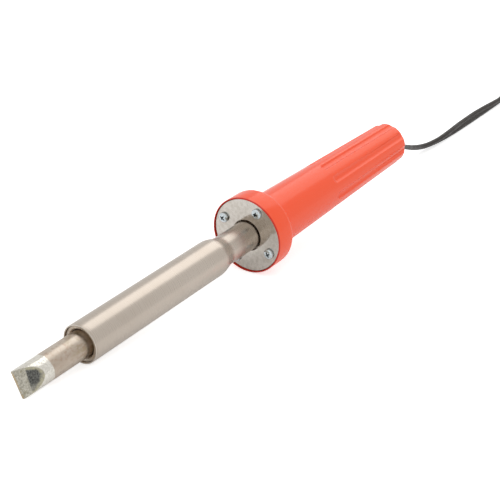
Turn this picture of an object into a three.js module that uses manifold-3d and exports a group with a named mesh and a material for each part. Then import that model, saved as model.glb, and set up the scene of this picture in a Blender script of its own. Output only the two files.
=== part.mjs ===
// A heavy electric soldering iron lying at rest: a steel barrel with a copper chisel tip, a fluted plastic
// handle, the heater inside them, and the flat mains lead with its hank and plug.
// Millimetres, +Z up. The tip points to -X. The origin is under the middle of the iron, on the surface.
import * as THREE from 'three';
import { mergeVertices } from 'three/addons/utils/BufferGeometryUtils.js';
import Module from 'manifold-3d';

const wasm = await Module();
wasm.setup();

// Fits. Stations are measured along the iron's axis from the handle's front face, rearwards.
const gap = 0.3; // between pieces that touch on the real iron
const overrun = 2; // how far a cutter runs past the face that it opens
const weldDistance = 0.0005; // vertices nearer than this are one

// Copper tip
const tipRadius = 7.9;
const tipOut = 47.3; // how far it stands out of the barrel's mouth
const tipTailRoom = 14.6; // left behind it inside the heater
const tipCorner = 0.6; // worn corner of the edge
const tipTailChamfer = 1;
const edgeThickness = 1.2;
const chiselLength = 12.8; // of one chisel face, along the axis
const chiselAngle = 157; // degrees from +Y towards +Z that the first chisel face looks to

// Barrel: one steel tube, swaged down to a neck
const barrelReach = 154; // its mouth, ahead of the handle's front face
const barrelWall = 0.85;
const mouthRound = 0.3;
const shoulderFront = 37.5;
const shoulderRear = 24;
const neckRadius = 9.4;
const neckTail = 20; // how far the neck runs into the handle

// Heater
const collarRecess = 1.2; // behind the mouth
const collarLength = 8;
const collarCountersink = 0.9; // of its bore, at the front
const formerWall = 0.75;
const windingWire = 0.7; // diameter
const micaWall = 0.35;
const windingTurns = 14;
const windingMargin = 4; // former left bare at each end
const sleeveOverlap = 1; // mica past the winding's ends
const insulatorThickness = 5;
const insulatorSetback = 2; // bare leads between the former and the insulator
const insulatorToShoulder = 1.2;
const leadNotchRadius = 1.2;

// Set screw that clamps the tip, on the underside
const setScrewRadius = 2;
const setScrewAngle = -38.5; // degrees from +Y towards +Z
const setScrewSlotWidth = 0.6;
const setScrewSlotDepth = 0.8;

// Handle
const flangeRadius = 25;
const flangeLength = 16.7;
const flangeFrontRound = 0.6;
const flangeRearRound = 3.5;
const gripRootRadius = 17.85;
const gripRootFillet = 1.5;
const gripEndRadius = 14.8;
const handleLength = 178;
const handleEndRound = 3.6;
const handleEndWall = 8;
const gripWall = 4.45;
const fluteCount = 9;
const fluteStart = 82;
const fluteDepth = 1.3;
const fluteToolRadius = 3.6;
const flutePhase = 106; // degrees from +Y towards +Z of the first flute

// Front plate, its gasket, its screws and the ring that holds the neck
const flangeLip = 0.8; // of the handle, round the plate
const plateThickness = 1.5;
const plateRecess = 0.8;
const plateNeckRoom = 0.9; // between the plate's hole and the neck
const gasketThickness = 0.8;
const neckRingThickness = 2;
const neckRingInset = 0.2; // its edge, inside the circle that the screw heads touch
const screwCount = 4;
const screwEdgeDistance = 5.2; // from the plate's edge to a screw's centre
const screwPhase = 28; // degrees from +Y towards +Z of the first screw
const screwRadius = 1.75;
const screwLength = 12;
const screwHeadRadius = 3.3;
const screwHeadHeight = 2.2;
const screwHeadRim = 0.9; // straight side of the head, below its dome
const recessWidth = 1;
const recessLength = 3.6;
const recessDepth = 1.2;

// Wiring inside the handle
const leadFanRear = 18; // station, ahead of the front face, where the leads run parallel
const leadSleeveRadius = 1.6;
const leadSleeveWall = 0.7;
const connectorLength = 12;
const connectorRadius = 2.4;
const connectorBoreRadius = 1;
const connectorCoverWall = 0.5;
const connectorCoverOverlap = 4;
const connectorSpread = 1.2; // between the two covers
const leadInside = 50; // length of the flat lead inside the handle
const coresParted = 28; // length over which its two cores run apart, to the connectors
const clipRadius = 6.8;
const clipLength = 6;

// Flat twin lead
const cordWidth = 7.6;
const cordThickness = 3.8;
const cordHoleClearance = 0.3;

// Hank: loops of the lead standing on edge, in two layers, drawn in at the waist by a tie
const hankCentre = [235, -47]; // behind the handle's end, and across
const hankRun = 92; // straight length of a run
const hankFoldRadius = 23; // of the innermost fold
const hankWaist = 6; // half the space between the innermost runs at the tie
const hankTurnGap = 0.5;
const hankLoops = 3; // whole loops; the lead leaves one run later
const hankRunShare = 0.26; // share of a loop's parameter taken by one run
const hankLeadIn = 4; // straight lead ahead of the first run
const tieLength = 14; // along the runs
const tieThickness = 0.8;

// Plug
const plugLength = 26;
const plugWidth = 25;
const plugHeight = 16.5;
const plugNeckLength = 26;
const plugNeckWidth = 11;
const plugNeckHeight = 7;
const plugChamfer = 3;
const plugShoulder = 7; // length over which the body narrows to its neck
const plugTaperShare = 0.8; // the neck's end, as a share of its root
const plugTail = 55; // lead between the hank and the plug's neck
const plugInset = 6; // its centre line, from the lead's last run towards the hank's middle
const bladeSpacing = 12.7;
const bladeWidth = 6.35;
const bladeThickness = 1.5;
const bladeReach = 17.5;
const bladeRoot = 10; // length inside the plug
const bladeHoleRadius = 1.6;
const bladeHoleInset = 3.2;

// Facets
const bigSides = 54;
const midSides = 36;
const smallSides = 18;
const fluteSides = 24;
const wireSides = 6;
const coreSides = 10;
const cordArcSides = 4; // sides of each half-round edge of the lead, an even number
const roundSteps = 2;
const windingSteps = 14; // per turn
const leadSteps = 36;
const coreSteps = 12;
const loopSteps = 24; // per loop of the hank
const freeSteps = 62; // along the free lead
const tailSteps = 12;
const pointsPerStep = 8; // where a curve is measured

// Free lead from the handle to the hank: points of its centre line, as the distance behind the handle's
// end, the distance across and the height, then the turn of its broad side in degrees, 0 where it lies flat
const cordExitStraight = 4;
const cordRoute = [
  [10.4, 0.5, 40.3, 8],
  [16.4, 2, 38.8, 18],
  [22, 4.6, 35.9, 26],
  [28.5, 8.2, 32.2, 30],
  [38, 12.9, 27.2, 26],
  [51, 17.8, 21.2, 14],
  [66, 21.8, 15.9, 4],
  [81, 24.8, 10.9, -8],
  [96, 26.6, 6.8, -22],
  [111, 27.1, 4.3, -32],
  [129, 27.1, 3.5, -42],
  [146, 27.6, 3.7, -60],
  [161, 28.8, 3.8, -76],
  [179, 30.5, 3.9, -92],
  [199, 32.4, 3.9, -101],
  [216, 33.9, 3.9, -100],
  [233, 35.1, 3.9, -88],
  [251, 36.3, 3.8, -70],
  [268, 37.6, 3.7, -58],
  [284, 38.8, 3.9, -66],
  [308, 30.9, 3.9, -80],
  [326.3, 9.4, 3.9, -90],
  [333, -20, 3.9, -90],
  [326.3, -49.4, 3.9, -90],
  [308, -70.9, 3.9, -90],
];

// A closed three.js geometry as a solid, with its faces turned outwards
function solidOf(geometry) {
  const bare = geometry.index ? geometry.toNonIndexed() : geometry.clone();
  bare.deleteAttribute('normal');
  bare.deleteAttribute('uv');
  const merged = mergeVertices(bare, weldDistance);
  const position = merged.getAttribute('position');
  const corners = [];
  const a = new THREE.Vector3();
  const b = new THREE.Vector3();
  const c = new THREE.Vector3();
  let volume = 0;
  for (let i = 0; i < merged.index.count; i += 3) {
    const triangle = [0, 1, 2].map((k) => merged.index.getX(i + k));
    if (new Set(triangle).size < 3) continue;
    corners.push(triangle);
    a.fromBufferAttribute(position, triangle[0]);
    b.fromBufferAttribute(position, triangle[1]);
    c.fromBufferAttribute(position, triangle[2]);
    volume += a.dot(b.cross(c));
  }
  const outward = volume < 0 ? corners.map(([p, q, r]) => [p, r, q]) : corners;
  return new wasm.Manifold(new wasm.Mesh({
    numProp: 3,
    vertProperties: new Float32Array(position.array),
    triVerts: new Uint32Array(outward.flat()),
  }));
}

function geometryOf(solid) {
  const mesh = solid.getMesh();
  const geometry = new THREE.BufferGeometry();
  geometry.setAttribute('position', new THREE.BufferAttribute(mesh.vertProperties, mesh.numProp));
  geometry.setIndex(new THREE.BufferAttribute(mesh.triVerts, 1));
  geometry.computeVertexNormals();
  return geometry;
}

function cut(solid, cutters) {
  return cutters.reduce((rest, cutter) => rest.subtract(cutter), solid);
}

function piece(name, solid, { colour, roughness, metalness }) {
  const material = new THREE.MeshStandardMaterial({ color: colour, roughness, metalness });
  const mesh = new THREE.Mesh(geometryOf(solid), material);
  mesh.name = name;
  return mesh;
}

// Turned shapes run along X. A profile is a list of [station, radius] that starts and ends on the axis,
// or closes on itself.
function turned(profile, sides) {
  const points = profile.map(([station, radius]) => new THREE.Vector2(radius, station));
  return solidOf(new THREE.LatheGeometry(points, sides).rotateZ(-Math.PI / 2));
}

function ring(front, rear, inner, outer, sides) {
  const profile = [[front, inner], [front, outer], [rear, outer], [rear, inner], [front, inner]];
  return turned(profile, sides);
}

function rod(front, rear, radius, sides) {
  return turned([[front, 0], [front, radius], [rear, radius], [rear, 0]], sides);
}

// Points of a quarter round from one angle to another, angles in quarter turns from the station axis
function quarter(station, radius, round, from, to) {
  const points = [];
  for (let i = 0; i <= roundSteps; i += 1) {
    const angle = (from + (to - from) * i / roundSteps) * Math.PI / 2;
    points.push([station + round * Math.cos(angle), radius + round * Math.sin(angle)]);
  }
  return points;
}

// A flat outline in the X-Y plane, made thick across Z, turned about X and moved
function slab(outline, thickness, angle = 0, [x, y, z] = [0, 0, 0]) {
  const shape = new THREE.Shape(outline.map(([px, py]) => new THREE.Vector2(px, py)));
  const geometry = new THREE.ExtrudeGeometry(shape, { depth: thickness, bevelEnabled: false });
  geometry.translate(0, 0, -thickness / 2);
  geometry.rotateX(THREE.MathUtils.degToRad(angle));
  geometry.translate(x, y, z);
  return solidOf(geometry);
}

// An outline across X, its points as [y, z], made long between two stations
function prism(outline, front, rear) {
  const shape = new THREE.Shape(outline);
  const geometry = new THREE.ExtrudeGeometry(shape, { depth: rear - front, bevelEnabled: false });
  const across = new THREE.Vector3(0, 1, 0);
  const up = new THREE.Vector3(0, 0, 1);
  geometry.applyMatrix4(new THREE.Matrix4().makeBasis(across, up, new THREE.Vector3(1, 0, 0)));
  geometry.translate(front, 0, 0);
  return solidOf(geometry);
}

// A rectangle across X with its corners cut off
function cutRectangle(halfWidth, halfHeight, corner) {
  const corners = [
    [halfWidth, corner - halfHeight],
    [halfWidth, halfHeight - corner],
    [halfWidth - corner, halfHeight],
    [corner - halfWidth, halfHeight],
    [-halfWidth, halfHeight - corner],
    [-halfWidth, corner - halfHeight],
    [corner - halfWidth, -halfHeight],
    [halfWidth - corner, -halfHeight],
  ];
  return corners.map(([y, z]) => new THREE.Vector2(y, z));
}

function block(sizeX, sizeY, sizeZ, [x, y, z] = [0, 0, 0]) {
  return solidOf(new THREE.BoxGeometry(sizeX, sizeY, sizeZ).translate(x, y, z));
}

// A cylinder that points away from the axis at an angle, from one distance to another
function spoke(station, angle, from, to, radius, sides) {
  const geometry = new THREE.CylinderGeometry(radius, radius, to - from, sides);
  geometry.translate(0, (from + to) / 2, 0);
  geometry.rotateX(THREE.MathUtils.degToRad(angle));
  geometry.translate(station, 0, 0);
  return solidOf(geometry);
}

function moved(solid, [x, y, z]) {
  return solid.translate([x, y, z]);
}

function round(angle, radius) {
  const turn = THREE.MathUtils.degToRad(angle);
  return [0, radius * Math.cos(turn), radius * Math.sin(turn)];
}

// From 0 to 1 with soft ends
function smooth(share) {
  return THREE.MathUtils.smoothstep(share, 0, 1);
}

// A tube along a curve
function tube(curve, outline, steps) {
  const shape = new THREE.Shape(outline);
  return solidOf(new THREE.ExtrudeGeometry(shape, { steps, extrudePath: curve }));
}

function circleOutline(radius, sides) {
  return Array.from({ length: sides }, (_, i) => {
    const angle = i * 2 * Math.PI / sides;
    return new THREE.Vector2(radius * Math.cos(angle), radius * Math.sin(angle));
  });
}

// A curve along X that sways from one lane to another between two stations, straight before and after
function swayCurve([front, rear], [swayFront, swayRear], [fromLane, toLane]) {
  const curve = new THREE.Curve();
  curve.getPoint = (t, target = new THREE.Vector3()) => {
    const x = THREE.MathUtils.lerp(front, rear, t);
    const share = smooth((x - swayFront) / (swayRear - swayFront));
    return target.set(x, THREE.MathUtils.lerp(fromLane, toLane, share), 0);
  };
  return curve;
}

// The lead's section: flat, with half-round edges. Its broad side runs along the outline's x.
function leadOutline(extra = 0) {
  const edge = cordThickness / 2 + extra;
  const centre = (cordWidth - cordThickness) / 2;
  const points = [];
  for (const side of [1, -1]) {
    for (let i = 0; i <= cordArcSides; i += 1) {
      const angle = (i / cordArcSides - 1 / 2) * Math.PI;
      const x = side * (centre + edge * Math.cos(angle));
      points.push(new THREE.Vector2(x, side * edge * Math.sin(angle)));
    }
  }
  return points;
}

// A curve whose section keeps its own turn about the curve: 0 lies flat and a quarter turn stands on edge
class FlatCurve extends THREE.Curve {
  constructor(place, turn, divisions) {
    super();
    this.place = place;
    this.turn = turn;
    this.arcLengthDivisions = divisions;
  }

  getPoint(t, target = new THREE.Vector3()) {
    return target.copy(this.place(t));
  }

  computeFrenetFrames(segments) {
    const frames = { tangents: [], normals: [], binormals: [] };
    for (let i = 0; i <= segments; i += 1) {
      const t = this.getUtoTmapping(i / segments);
      const tangent = this.getTangent(t);
      const side = new THREE.Vector3(-tangent.y, tangent.x, 0).normalize();
      const lift = tangent.clone().cross(side);
      const angle = this.turn(t);
      const broad = side.multiplyScalar(Math.cos(angle)).addScaledVector(lift, Math.sin(angle));
      frames.tangents.push(tangent);
      frames.normals.push(broad);
      frames.binormals.push(tangent.clone().cross(broad));
    }
    return frames;
  }
}

// The least distance between parts of a curve that are more than an arc length apart, less the thickness
function leastGap(curve, samples, thickness, apart) {
  const points = curve.getSpacedPoints(samples);
  const skip = Math.ceil(apart * samples / curve.getLength());
  let least = Infinity;
  for (let i = 0; i < samples; i += 1) {
    for (let j = i + skip; j <= samples; j += 1) least = Math.min(least, points[i].distanceTo(points[j]));
  }
  return least - thickness;
}

const finishes = {
  copper: { colour: 0xa89a90, roughness: 0.35, metalness: 1 },
  steel: { colour: 0xb4a89b, roughness: 0.35, metalness: 1 },
  plate: { colour: 0xc3b9af, roughness: 0.5, metalness: 1 },
  zinc: { colour: 0xccd4da, roughness: 0.3, metalness: 1 },
  redPlastic: { colour: 0xf0523a, roughness: 0.35, metalness: 0 },
  ceramic: { colour: 0xe8e2d6, roughness: 0.7, metalness: 0 },
  mica: { colour: 0xb9a06a, roughness: 0.5, metalness: 0 },
  nichrome: { colour: 0x8d8580, roughness: 0.4, metalness: 1 },
  glassFibre: { colour: 0xe9e4da, roughness: 0.9, metalness: 0 },
  fibreBoard: { colour: 0x8a5a3c, roughness: 0.9, metalness: 0 },
  brass: { colour: 0xc9a24a, roughness: 0.35, metalness: 1 },
  blackVinyl: { colour: 0x2b2a29, roughness: 0.55, metalness: 0 },
  tie: { colour: 0x1f1f20, roughness: 0.8, metalness: 0 },
};

// From the tip outwards: tip, former, winding, mica sleeve and barrel, each with its gap
const tipBore = tipRadius + gap;
const formerRadius = tipBore + formerWall;
const windingRadius = formerRadius + gap + windingWire / 2;
const micaBore = windingRadius + windingWire / 2 + gap;
const micaRadius = micaBore + micaWall;
const barrelBore = micaRadius + gap;
const barrelRadius = barrelBore + barrelWall;

// Stations inside the barrel
const collarFront = collarRecess - barrelReach;
const collarRear = collarFront + collarLength;
const setScrewStation = (collarFront + collarRear) / 2;
const setScrewHoleRadius = setScrewRadius + gap;
const insulatorRear = -shoulderFront - insulatorToShoulder;
const insulatorFront = insulatorRear - insulatorThickness;
const formerFront = collarRear + gap;
const formerRear = insulatorFront - insulatorSetback;
const windingFront = formerFront + windingMargin;
const windingRear = formerRear - windingMargin;
const tipFront = -barrelReach - tipOut;
const tipRear = formerRear - tipTailRoom;

// Copper tip: a round bar ground to a chisel
function makeTip() {
  const bar = turned([
    [tipFront, 0],
    [tipFront, tipRadius - tipCorner],
    [tipFront + tipCorner, tipRadius],
    [tipRear - tipTailChamfer, tipRadius],
    [tipRear, tipRadius - tipTailChamfer],
    [tipRear, 0],
  ], midSides);
  const slope = (tipRadius - edgeThickness / 2) / chiselLength;
  const low = edgeThickness / 2 - slope * overrun;
  const reach = chiselLength + 2 * overrun;
  const waste = [
    [tipFront - overrun, low],
    [tipFront - overrun + reach, low + slope * reach],
    [tipFront - overrun, low + slope * reach],
  ];
  const across = 2 * (tipRadius + overrun);
  const grinds = [0, 180].map((turn) => slab(waste, across, chiselAngle + turn));
  return piece('chisel_tip', cut(bar, grinds), finishes.copper);
}

function setScrewHole() {
  return spoke(setScrewStation, setScrewAngle, 0, barrelRadius + overrun, setScrewHoleRadius, smallSides);
}

// Barrel, shoulder and neck in one wall
function makeBarrel() {
  const shoulderSteps = 6;
  const outer = [[-barrelReach, barrelRadius - mouthRound], [mouthRound - barrelReach, barrelRadius]];
  for (let i = 0; i <= shoulderSteps; i += 1) {
    const share = i / shoulderSteps;
    const fall = (1 - Math.cos(Math.PI * share)) / 2;
    const station = -shoulderFront + (shoulderFront - shoulderRear) * share;
    outer.push([station, barrelRadius + (neckRadius - barrelRadius) * fall]);
  }
  outer.push([neckTail, neckRadius]);
  const inner = outer.slice(2).map(([station, radius]) => [station, radius - barrelWall]).reverse();
  const profile = [...outer, ...inner, [-barrelReach, barrelBore], outer[0]];
  return piece('barrel', cut(turned(profile, midSides), [setScrewHole()]), finishes.steel);
}

function makeHeater() {
  const heater = new THREE.Group();
  const collar = turned([
    [collarFront, tipBore + collarCountersink],
    [collarFront, micaRadius],
    [collarRear, micaRadius],
    [collarRear, tipBore],
    [collarFront + collarCountersink, tipBore],
    [collarFront, tipBore + collarCountersink],
  ], midSides);
  heater.add(piece('tip_collar', cut(collar, [setScrewHole()]), finishes.steel));
  const former = ring(formerFront, formerRear, tipBore, formerRadius, midSides);
  heater.add(piece('heater_former', former, finishes.ceramic));

  const windingCurve = new THREE.Curve();
  windingCurve.arcLengthDivisions = windingTurns * windingSteps;
  windingCurve.getPoint = (t, target = new THREE.Vector3()) => {
    const angle = 2 * Math.PI * windingTurns * t;
    const station = windingFront + (windingRear - windingFront) * t;
    return target.set(station, windingRadius * Math.cos(angle), windingRadius * Math.sin(angle));
  };
  const winding = tube(windingCurve, circleOutline(windingWire / 2, wireSides), windingTurns * windingSteps);
  heater.add(piece('heater_winding', winding, finishes.nichrome));
  const windingSamples = windingTurns * windingSteps * 2;
  const freeGap = leastGap(windingCurve, windingSamples, windingWire, Math.PI * windingRadius);
  console.log(`heater winding: least gap to itself ${freeGap.toFixed(2)} mm`);

  const micaFront = windingFront - sleeveOverlap;
  const micaRear = windingRear + sleeveOverlap;
  heater.add(piece('mica_sleeve', ring(micaFront, micaRear, micaBore, micaRadius, midSides), finishes.mica));

  const notch = rod(insulatorFront - overrun, insulatorRear + overrun, leadNotchRadius, smallSides);
  const notches = [0, 180].map((angle) => moved(notch, round(angle, windingRadius)));
  const disc = rod(insulatorFront, insulatorRear, micaRadius, midSides);
  heater.add(piece('rear_insulator', cut(disc, notches), finishes.ceramic));
  return heater;
}

// Headless screw with a slot, through the barrel and the collar to the tip
function makeSetScrew() {
  const outer = barrelRadius - gap;
  const body = spoke(setScrewStation, setScrewAngle, tipBore, outer, setScrewRadius, smallSides);
  const slot = block(2 * setScrewRadius + overrun, 2 * setScrewSlotDepth, setScrewSlotWidth, [0, outer, 0]);
  const placed = slot.rotate([setScrewAngle, 0, 0]).translate([setScrewStation, 0, 0]);
  return piece('tip_set_screw', cut(body, [placed]), finishes.steel);
}

// Radii and stations of the plate stack, behind the handle's front face
const recessRadius = flangeRadius - flangeLip;
const plateRadius = recessRadius - gap;
const plateHoleRadius = neckRadius + plateNeckRoom;
const screwPitchRadius = plateRadius - screwEdgeDistance;
const neckRingRadius = screwPitchRadius - screwHeadRadius - neckRingInset;
const cavityFrontRadius = gripRootRadius - gripWall;
const cavityRearRadius = gripEndRadius - gripWall;
const plateRear = plateRecess + plateThickness;
const gasketFront = plateRear + gap;
const gasketRear = gasketFront + gasketThickness;
const seatStation = gasketRear + gap;
const neckRingRear = seatStation + neckRingThickness;
const screwHoleRadius = screwRadius + gap;
const screwUnderhead = plateRecess - gap;
const screwTip = screwUnderhead + screwLength;
const cavityRear = handleLength - handleEndWall;
const splitStation = handleLength - leadInside;
const cordHoleRadius = cordWidth / 2 + cordHoleClearance;

function gripRadiusAt(station) {
  const share = (station - flangeLength) / (handleLength - flangeLength);
  return gripRootRadius + (gripEndRadius - gripRootRadius) * share;
}

function screwPlaces() {
  const step = 360 / screwCount;
  return Array.from({ length: screwCount }, (_, i) => round(screwPhase + i * step, screwPitchRadius));
}

function screwHoles(front, rear) {
  return screwPlaces().map((place) => moved(rod(front, rear, screwHoleRadius, smallSides), place));
}

// One flute cutter: a round-nosed bar that follows the grip's taper
function makeFlute(angle) {
  const halfWidth = Math.sqrt(fluteToolRadius ** 2 - (fluteToolRadius - fluteDepth) ** 2);
  const front = fluteStart + halfWidth;
  const length = handleLength - front + overrun + fluteToolRadius;
  const nose = [[-fluteToolRadius, 0]];
  const noseSteps = 4;
  for (let i = 1; i <= noseSteps; i += 1) {
    const turn = Math.PI / 2 * i / noseSteps;
    nose.push([-fluteToolRadius * Math.cos(turn), fluteToolRadius * Math.sin(turn)]);
  }
  const bar = turned([...nose, [length, fluteToolRadius], [length, 0]], fluteSides);
  const taper = Math.atan((gripRootRadius - gripEndRadius) / (handleLength - flangeLength));
  const centre = gripRadiusAt(front) + fluteToolRadius - fluteDepth;
  const along = bar.rotate([0, 0, -THREE.MathUtils.radToDeg(taper)]);
  return along.translate([front, centre, 0]).rotate([angle, 0, 0]);
}

function makeHandle() {
  const ringRecess = neckRingRadius + gap;
  const ringSeat = neckRingRear + gap;
  const endStation = handleLength - handleEndRound;
  const endRadius = gripRadiusAt(endStation);
  const filletStation = flangeLength + gripRootFillet;
  const profile = [
    [0, recessRadius],
    ...quarter(flangeFrontRound, flangeRadius - flangeFrontRound, flangeFrontRound, 2, 1),
    ...quarter(flangeLength - flangeRearRound, flangeRadius - flangeRearRound, flangeRearRound, 1, 0),
    ...quarter(filletStation, gripRadiusAt(filletStation) + gripRootFillet, gripRootFillet, 2, 3),
    ...quarter(endStation, endRadius - handleEndRound, handleEndRound, 1, 0),
    [handleLength, cordHoleRadius],
    [cavityRear, cordHoleRadius],
    [cavityRear, cavityRearRadius],
    [ringSeat, cavityFrontRadius],
    [ringSeat, ringRecess],
    [seatStation, ringRecess],
    [seatStation, recessRadius],
    [0, recessRadius],
  ];
  const flutes = Array.from({ length: fluteCount }, (_, i) => makeFlute(flutePhase + i * 360 / fluteCount));
  const pilots = screwHoles(seatStation - overrun, screwTip + gap);
  return piece('handle', cut(turned(profile, bigSides), [...flutes, ...pilots]), finishes.redPlastic);
}

function makePlateStack() {
  const stack = new THREE.Group();
  const plate = ring(plateRecess, plateRear, plateHoleRadius, plateRadius, bigSides);
  const plateHoles = screwHoles(plateRecess - overrun, plateRear + overrun);
  stack.add(piece('front_plate', cut(plate, plateHoles), finishes.plate));
  const gasket = ring(gasketFront, gasketRear, plateHoleRadius, plateRadius, bigSides);
  const gasketHoles = screwHoles(gasketFront - overrun, gasketRear + overrun);
  stack.add(piece('plate_gasket', cut(gasket, gasketHoles), finishes.fibreBoard));
  const neckRing = ring(seatStation, neckRingRear, neckRadius + gap, neckRingRadius, midSides);
  stack.add(piece('neck_ring', neckRing, finishes.steel));
  screwPlaces().forEach((place, i) => stack.add(makePlateScrew(`plate_screw_${i + 1}`, place)));
  return stack;
}

// Pan-head screw with a cross recess
function makePlateScrew(name, place) {
  const top = screwUnderhead - screwHeadHeight;
  const rim = screwUnderhead - screwHeadRim;
  const domeSteps = 3;
  const dome = Array.from({ length: domeSteps + 1 }, (_, i) => {
    const turn = Math.PI / 2 * i / domeSteps;
    return [rim - (rim - top) * Math.cos(turn), screwHeadRadius * Math.sin(turn)];
  });
  const body = turned([
    ...dome,
    [screwUnderhead, screwHeadRadius],
    [screwUnderhead, screwRadius],
    [screwTip - screwRadius, screwRadius],
    [screwTip, 0],
  ], smallSides);
  const armCentre = [top + (recessDepth - overrun) / 2, 0, 0];
  const arm = block(recessDepth + overrun, recessLength, recessWidth, armCentre);
  return piece(name, moved(cut(body, [arm, arm.rotate([90, 0, 0])]), place), finishes.zinc);
}

// Leads from the heater through the neck, joined to the lead's cores in crimp connectors
function makeWiring() {
  const wiring = new THREE.Group();
  const connectorRear = splitStation - coresParted;
  const connectorFront = connectorRear - connectorLength;
  const leadStart = windingRear + windingWire + gap;
  const leadEnd = (connectorFront + connectorRear) / 2;
  const coverBore = connectorRadius + gap;
  const coverRadius = coverBore + connectorCoverWall;
  const coreRadius = cordThickness / 2 - gap / 2;
  for (const [number, side] of [[1, 1], [2, -1]]) {
    const lane = side * (coverRadius + connectorSpread / 2);
    const start = side * windingRadius;
    const leadPath = swayCurve([leadStart, leadEnd], [insulatorRear, -leadFanRear], [start, lane]);
    const lead = tube(leadPath, circleOutline(windingWire / 2, wireSides), leadSteps);
    wiring.add(piece(`heater_lead_${number}`, lead, finishes.nichrome));

    const sleeveBore = leadSleeveRadius - leadSleeveWall;
    const sleeve = ring(-leadFanRear, connectorFront - gap, sleeveBore, leadSleeveRadius, smallSides);
    wiring.add(piece(`lead_sleeve_${number}`, moved(sleeve, [0, lane, 0]), finishes.glassFibre));

    const connector = ring(connectorFront, connectorRear, connectorBoreRadius, connectorRadius, smallSides);
    wiring.add(piece(`connector_${number}`, moved(connector, [0, lane, 0]), finishes.brass));

    const coverFront = connectorFront - connectorCoverOverlap;
    const coverRear = connectorRear + connectorCoverOverlap;
    const cover = ring(coverFront, coverRear, coverBore, coverRadius, smallSides);
    wiring.add(piece(`connector_cover_${number}`, moved(cover, [0, lane, 0]), finishes.glassFibre));

    const coreStart = side * (cordWidth - cordThickness) / 2;
    const coreFront = connectorRear + gap;
    const coreRear = splitStation - gap;
    const corePath = swayCurve([coreFront, coreRear], [coverRear, coreRear], [lane, coreStart]);
    const core = tube(corePath, circleOutline(coreRadius, coreSides), coreSteps);
    wiring.add(piece(`cord_core_${number}`, core, finishes.blackVinyl));
  }
  return wiring;
}

// The lead's straight end inside the handle, and the clip that keeps it there
function makeCordEntry() {
  const entry = new THREE.Group();
  const inside = prism(leadOutline(), splitStation, handleLength);
  entry.add(piece('cord_inside_handle', inside, finishes.blackVinyl));
  const clipRear = cavityRear - gap;
  const clip = rod(clipRear - clipLength, clipRear, clipRadius, midSides);
  const opening = prism(leadOutline(gap), clipRear - clipLength - overrun, clipRear + overrun);
  entry.add(piece('cord_clip', cut(clip, [opening]), finishes.steel));
  return entry;
}

// Hank sizes. The runs slope at the waist, so the loops lie a wider step apart.
const hankDraw = hankFoldRadius - hankWaist;
const hankSlope = hankDraw * Math.PI / hankRun;
const hankStep = (cordThickness + hankTurnGap) / Math.cos(Math.atan(hankSlope));
const hankClimbFrom = (hankLoops + 1) / 2 - 1 / 2;
const hankClimbTo = hankClimbFrom + hankRunShare;
const hankTurnRound = hankClimbFrom + 1 / 2;
const hankOuterRadius = hankFoldRadius + hankStep * hankClimbTo;
const hankLift = tieThickness + gap;
const layerStep = cordWidth + hankTurnGap;
const hankEnd = hankLoops + hankRunShare;
const cordRestHeight = cordWidth / 2;

// Half the width of the hank's loops: inwards by one step a loop, then outwards in the upper layer
function hankHalfWidth(loops) {
  const inward = hankOuterRadius - hankStep * Math.min(loops, hankClimbTo);
  const outward = hankOuterRadius - hankStep + hankStep * (Math.max(loops, hankTurnRound) - hankTurnRound);
  const share = smooth((loops - hankClimbTo) / (hankTurnRound - hankClimbTo));
  return THREE.MathUtils.lerp(inward, outward, share);
}

// How far a run is drawn in at a distance from the waist, as a share
function waistShare(x) {
  return (1 + Math.cos(2 * Math.PI * x / hankRun)) / 2;
}

function hankPoint(t) {
  const loops = t * hankEnd;
  const phase = loops % 1;
  const half = hankHalfWidth(loops);
  const climb = smooth((loops - hankClimbFrom) / hankRunShare);
  const height = cordRestHeight + layerStep * climb;
  const far = phase < 1 / 2 ? 1 : -1;
  const within = (phase % (1 / 2)) / hankRunShare;
  const [cx, cy] = hankCentre;
  if (within <= 1) {
    const x = hankRun * (1 / 2 - within);
    const waist = waistShare(x);
    const y = hankDraw * waist - half;
    return new THREE.Vector3(cx + far * x, cy + far * y, height + hankLift * waist);
  }
  const turn = Math.PI * (phase % (1 / 2) - hankRunShare) / (1 / 2 - hankRunShare);
  const x = -hankRun / 2 - half * Math.sin(turn);
  const y = -half * Math.cos(turn);
  return new THREE.Vector3(cx + far * x, cy + far * y, height);
}

// Points that carry the turn of the lead's broad side, smoothly joined
function leadThrough(points, turns, steps) {
  const line = new THREE.CatmullRomCurve3(points);
  const turnAt = (t) => {
    const at = t * (turns.length - 1);
    const low = Math.min(Math.floor(at), turns.length - 2);
    return THREE.MathUtils.degToRad(THREE.MathUtils.lerp(turns[low], turns[low + 1], at - low));
  };
  return new FlatCurve((t) => line.getPoint(t), turnAt, steps * pointsPerStep);
}

// The lead from a point of the handle's axis to the hank. Its places are taken from the handle's end.
function makeFreeCord(axisPoint) {
  const end = axisPoint(handleLength);
  const first = axisPoint(handleLength + gap).sub(new THREE.Vector3(end.x, 0, 0));
  const second = axisPoint(handleLength + cordExitStraight).sub(new THREE.Vector3(end.x, 0, 0));
  const last = hankPoint(0).add(new THREE.Vector3(gap, 0, 0));
  const straight = hankPoint(0).add(new THREE.Vector3(hankLeadIn, 0, 0));
  const along = cordRoute.map(([x, y, z]) => new THREE.Vector3(x, y, z));
  const turns = [0, 0, ...cordRoute.map((place) => place[3]), -90, -90];
  const curve = leadThrough([first, second, ...along, straight, last], turns, freeSteps);
  console.log(`free lead: ${curve.getLength().toFixed(0)} mm`);
  return piece('cord_free', tube(curve, leadOutline(), freeSteps), finishes.blackVinyl);
}

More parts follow.
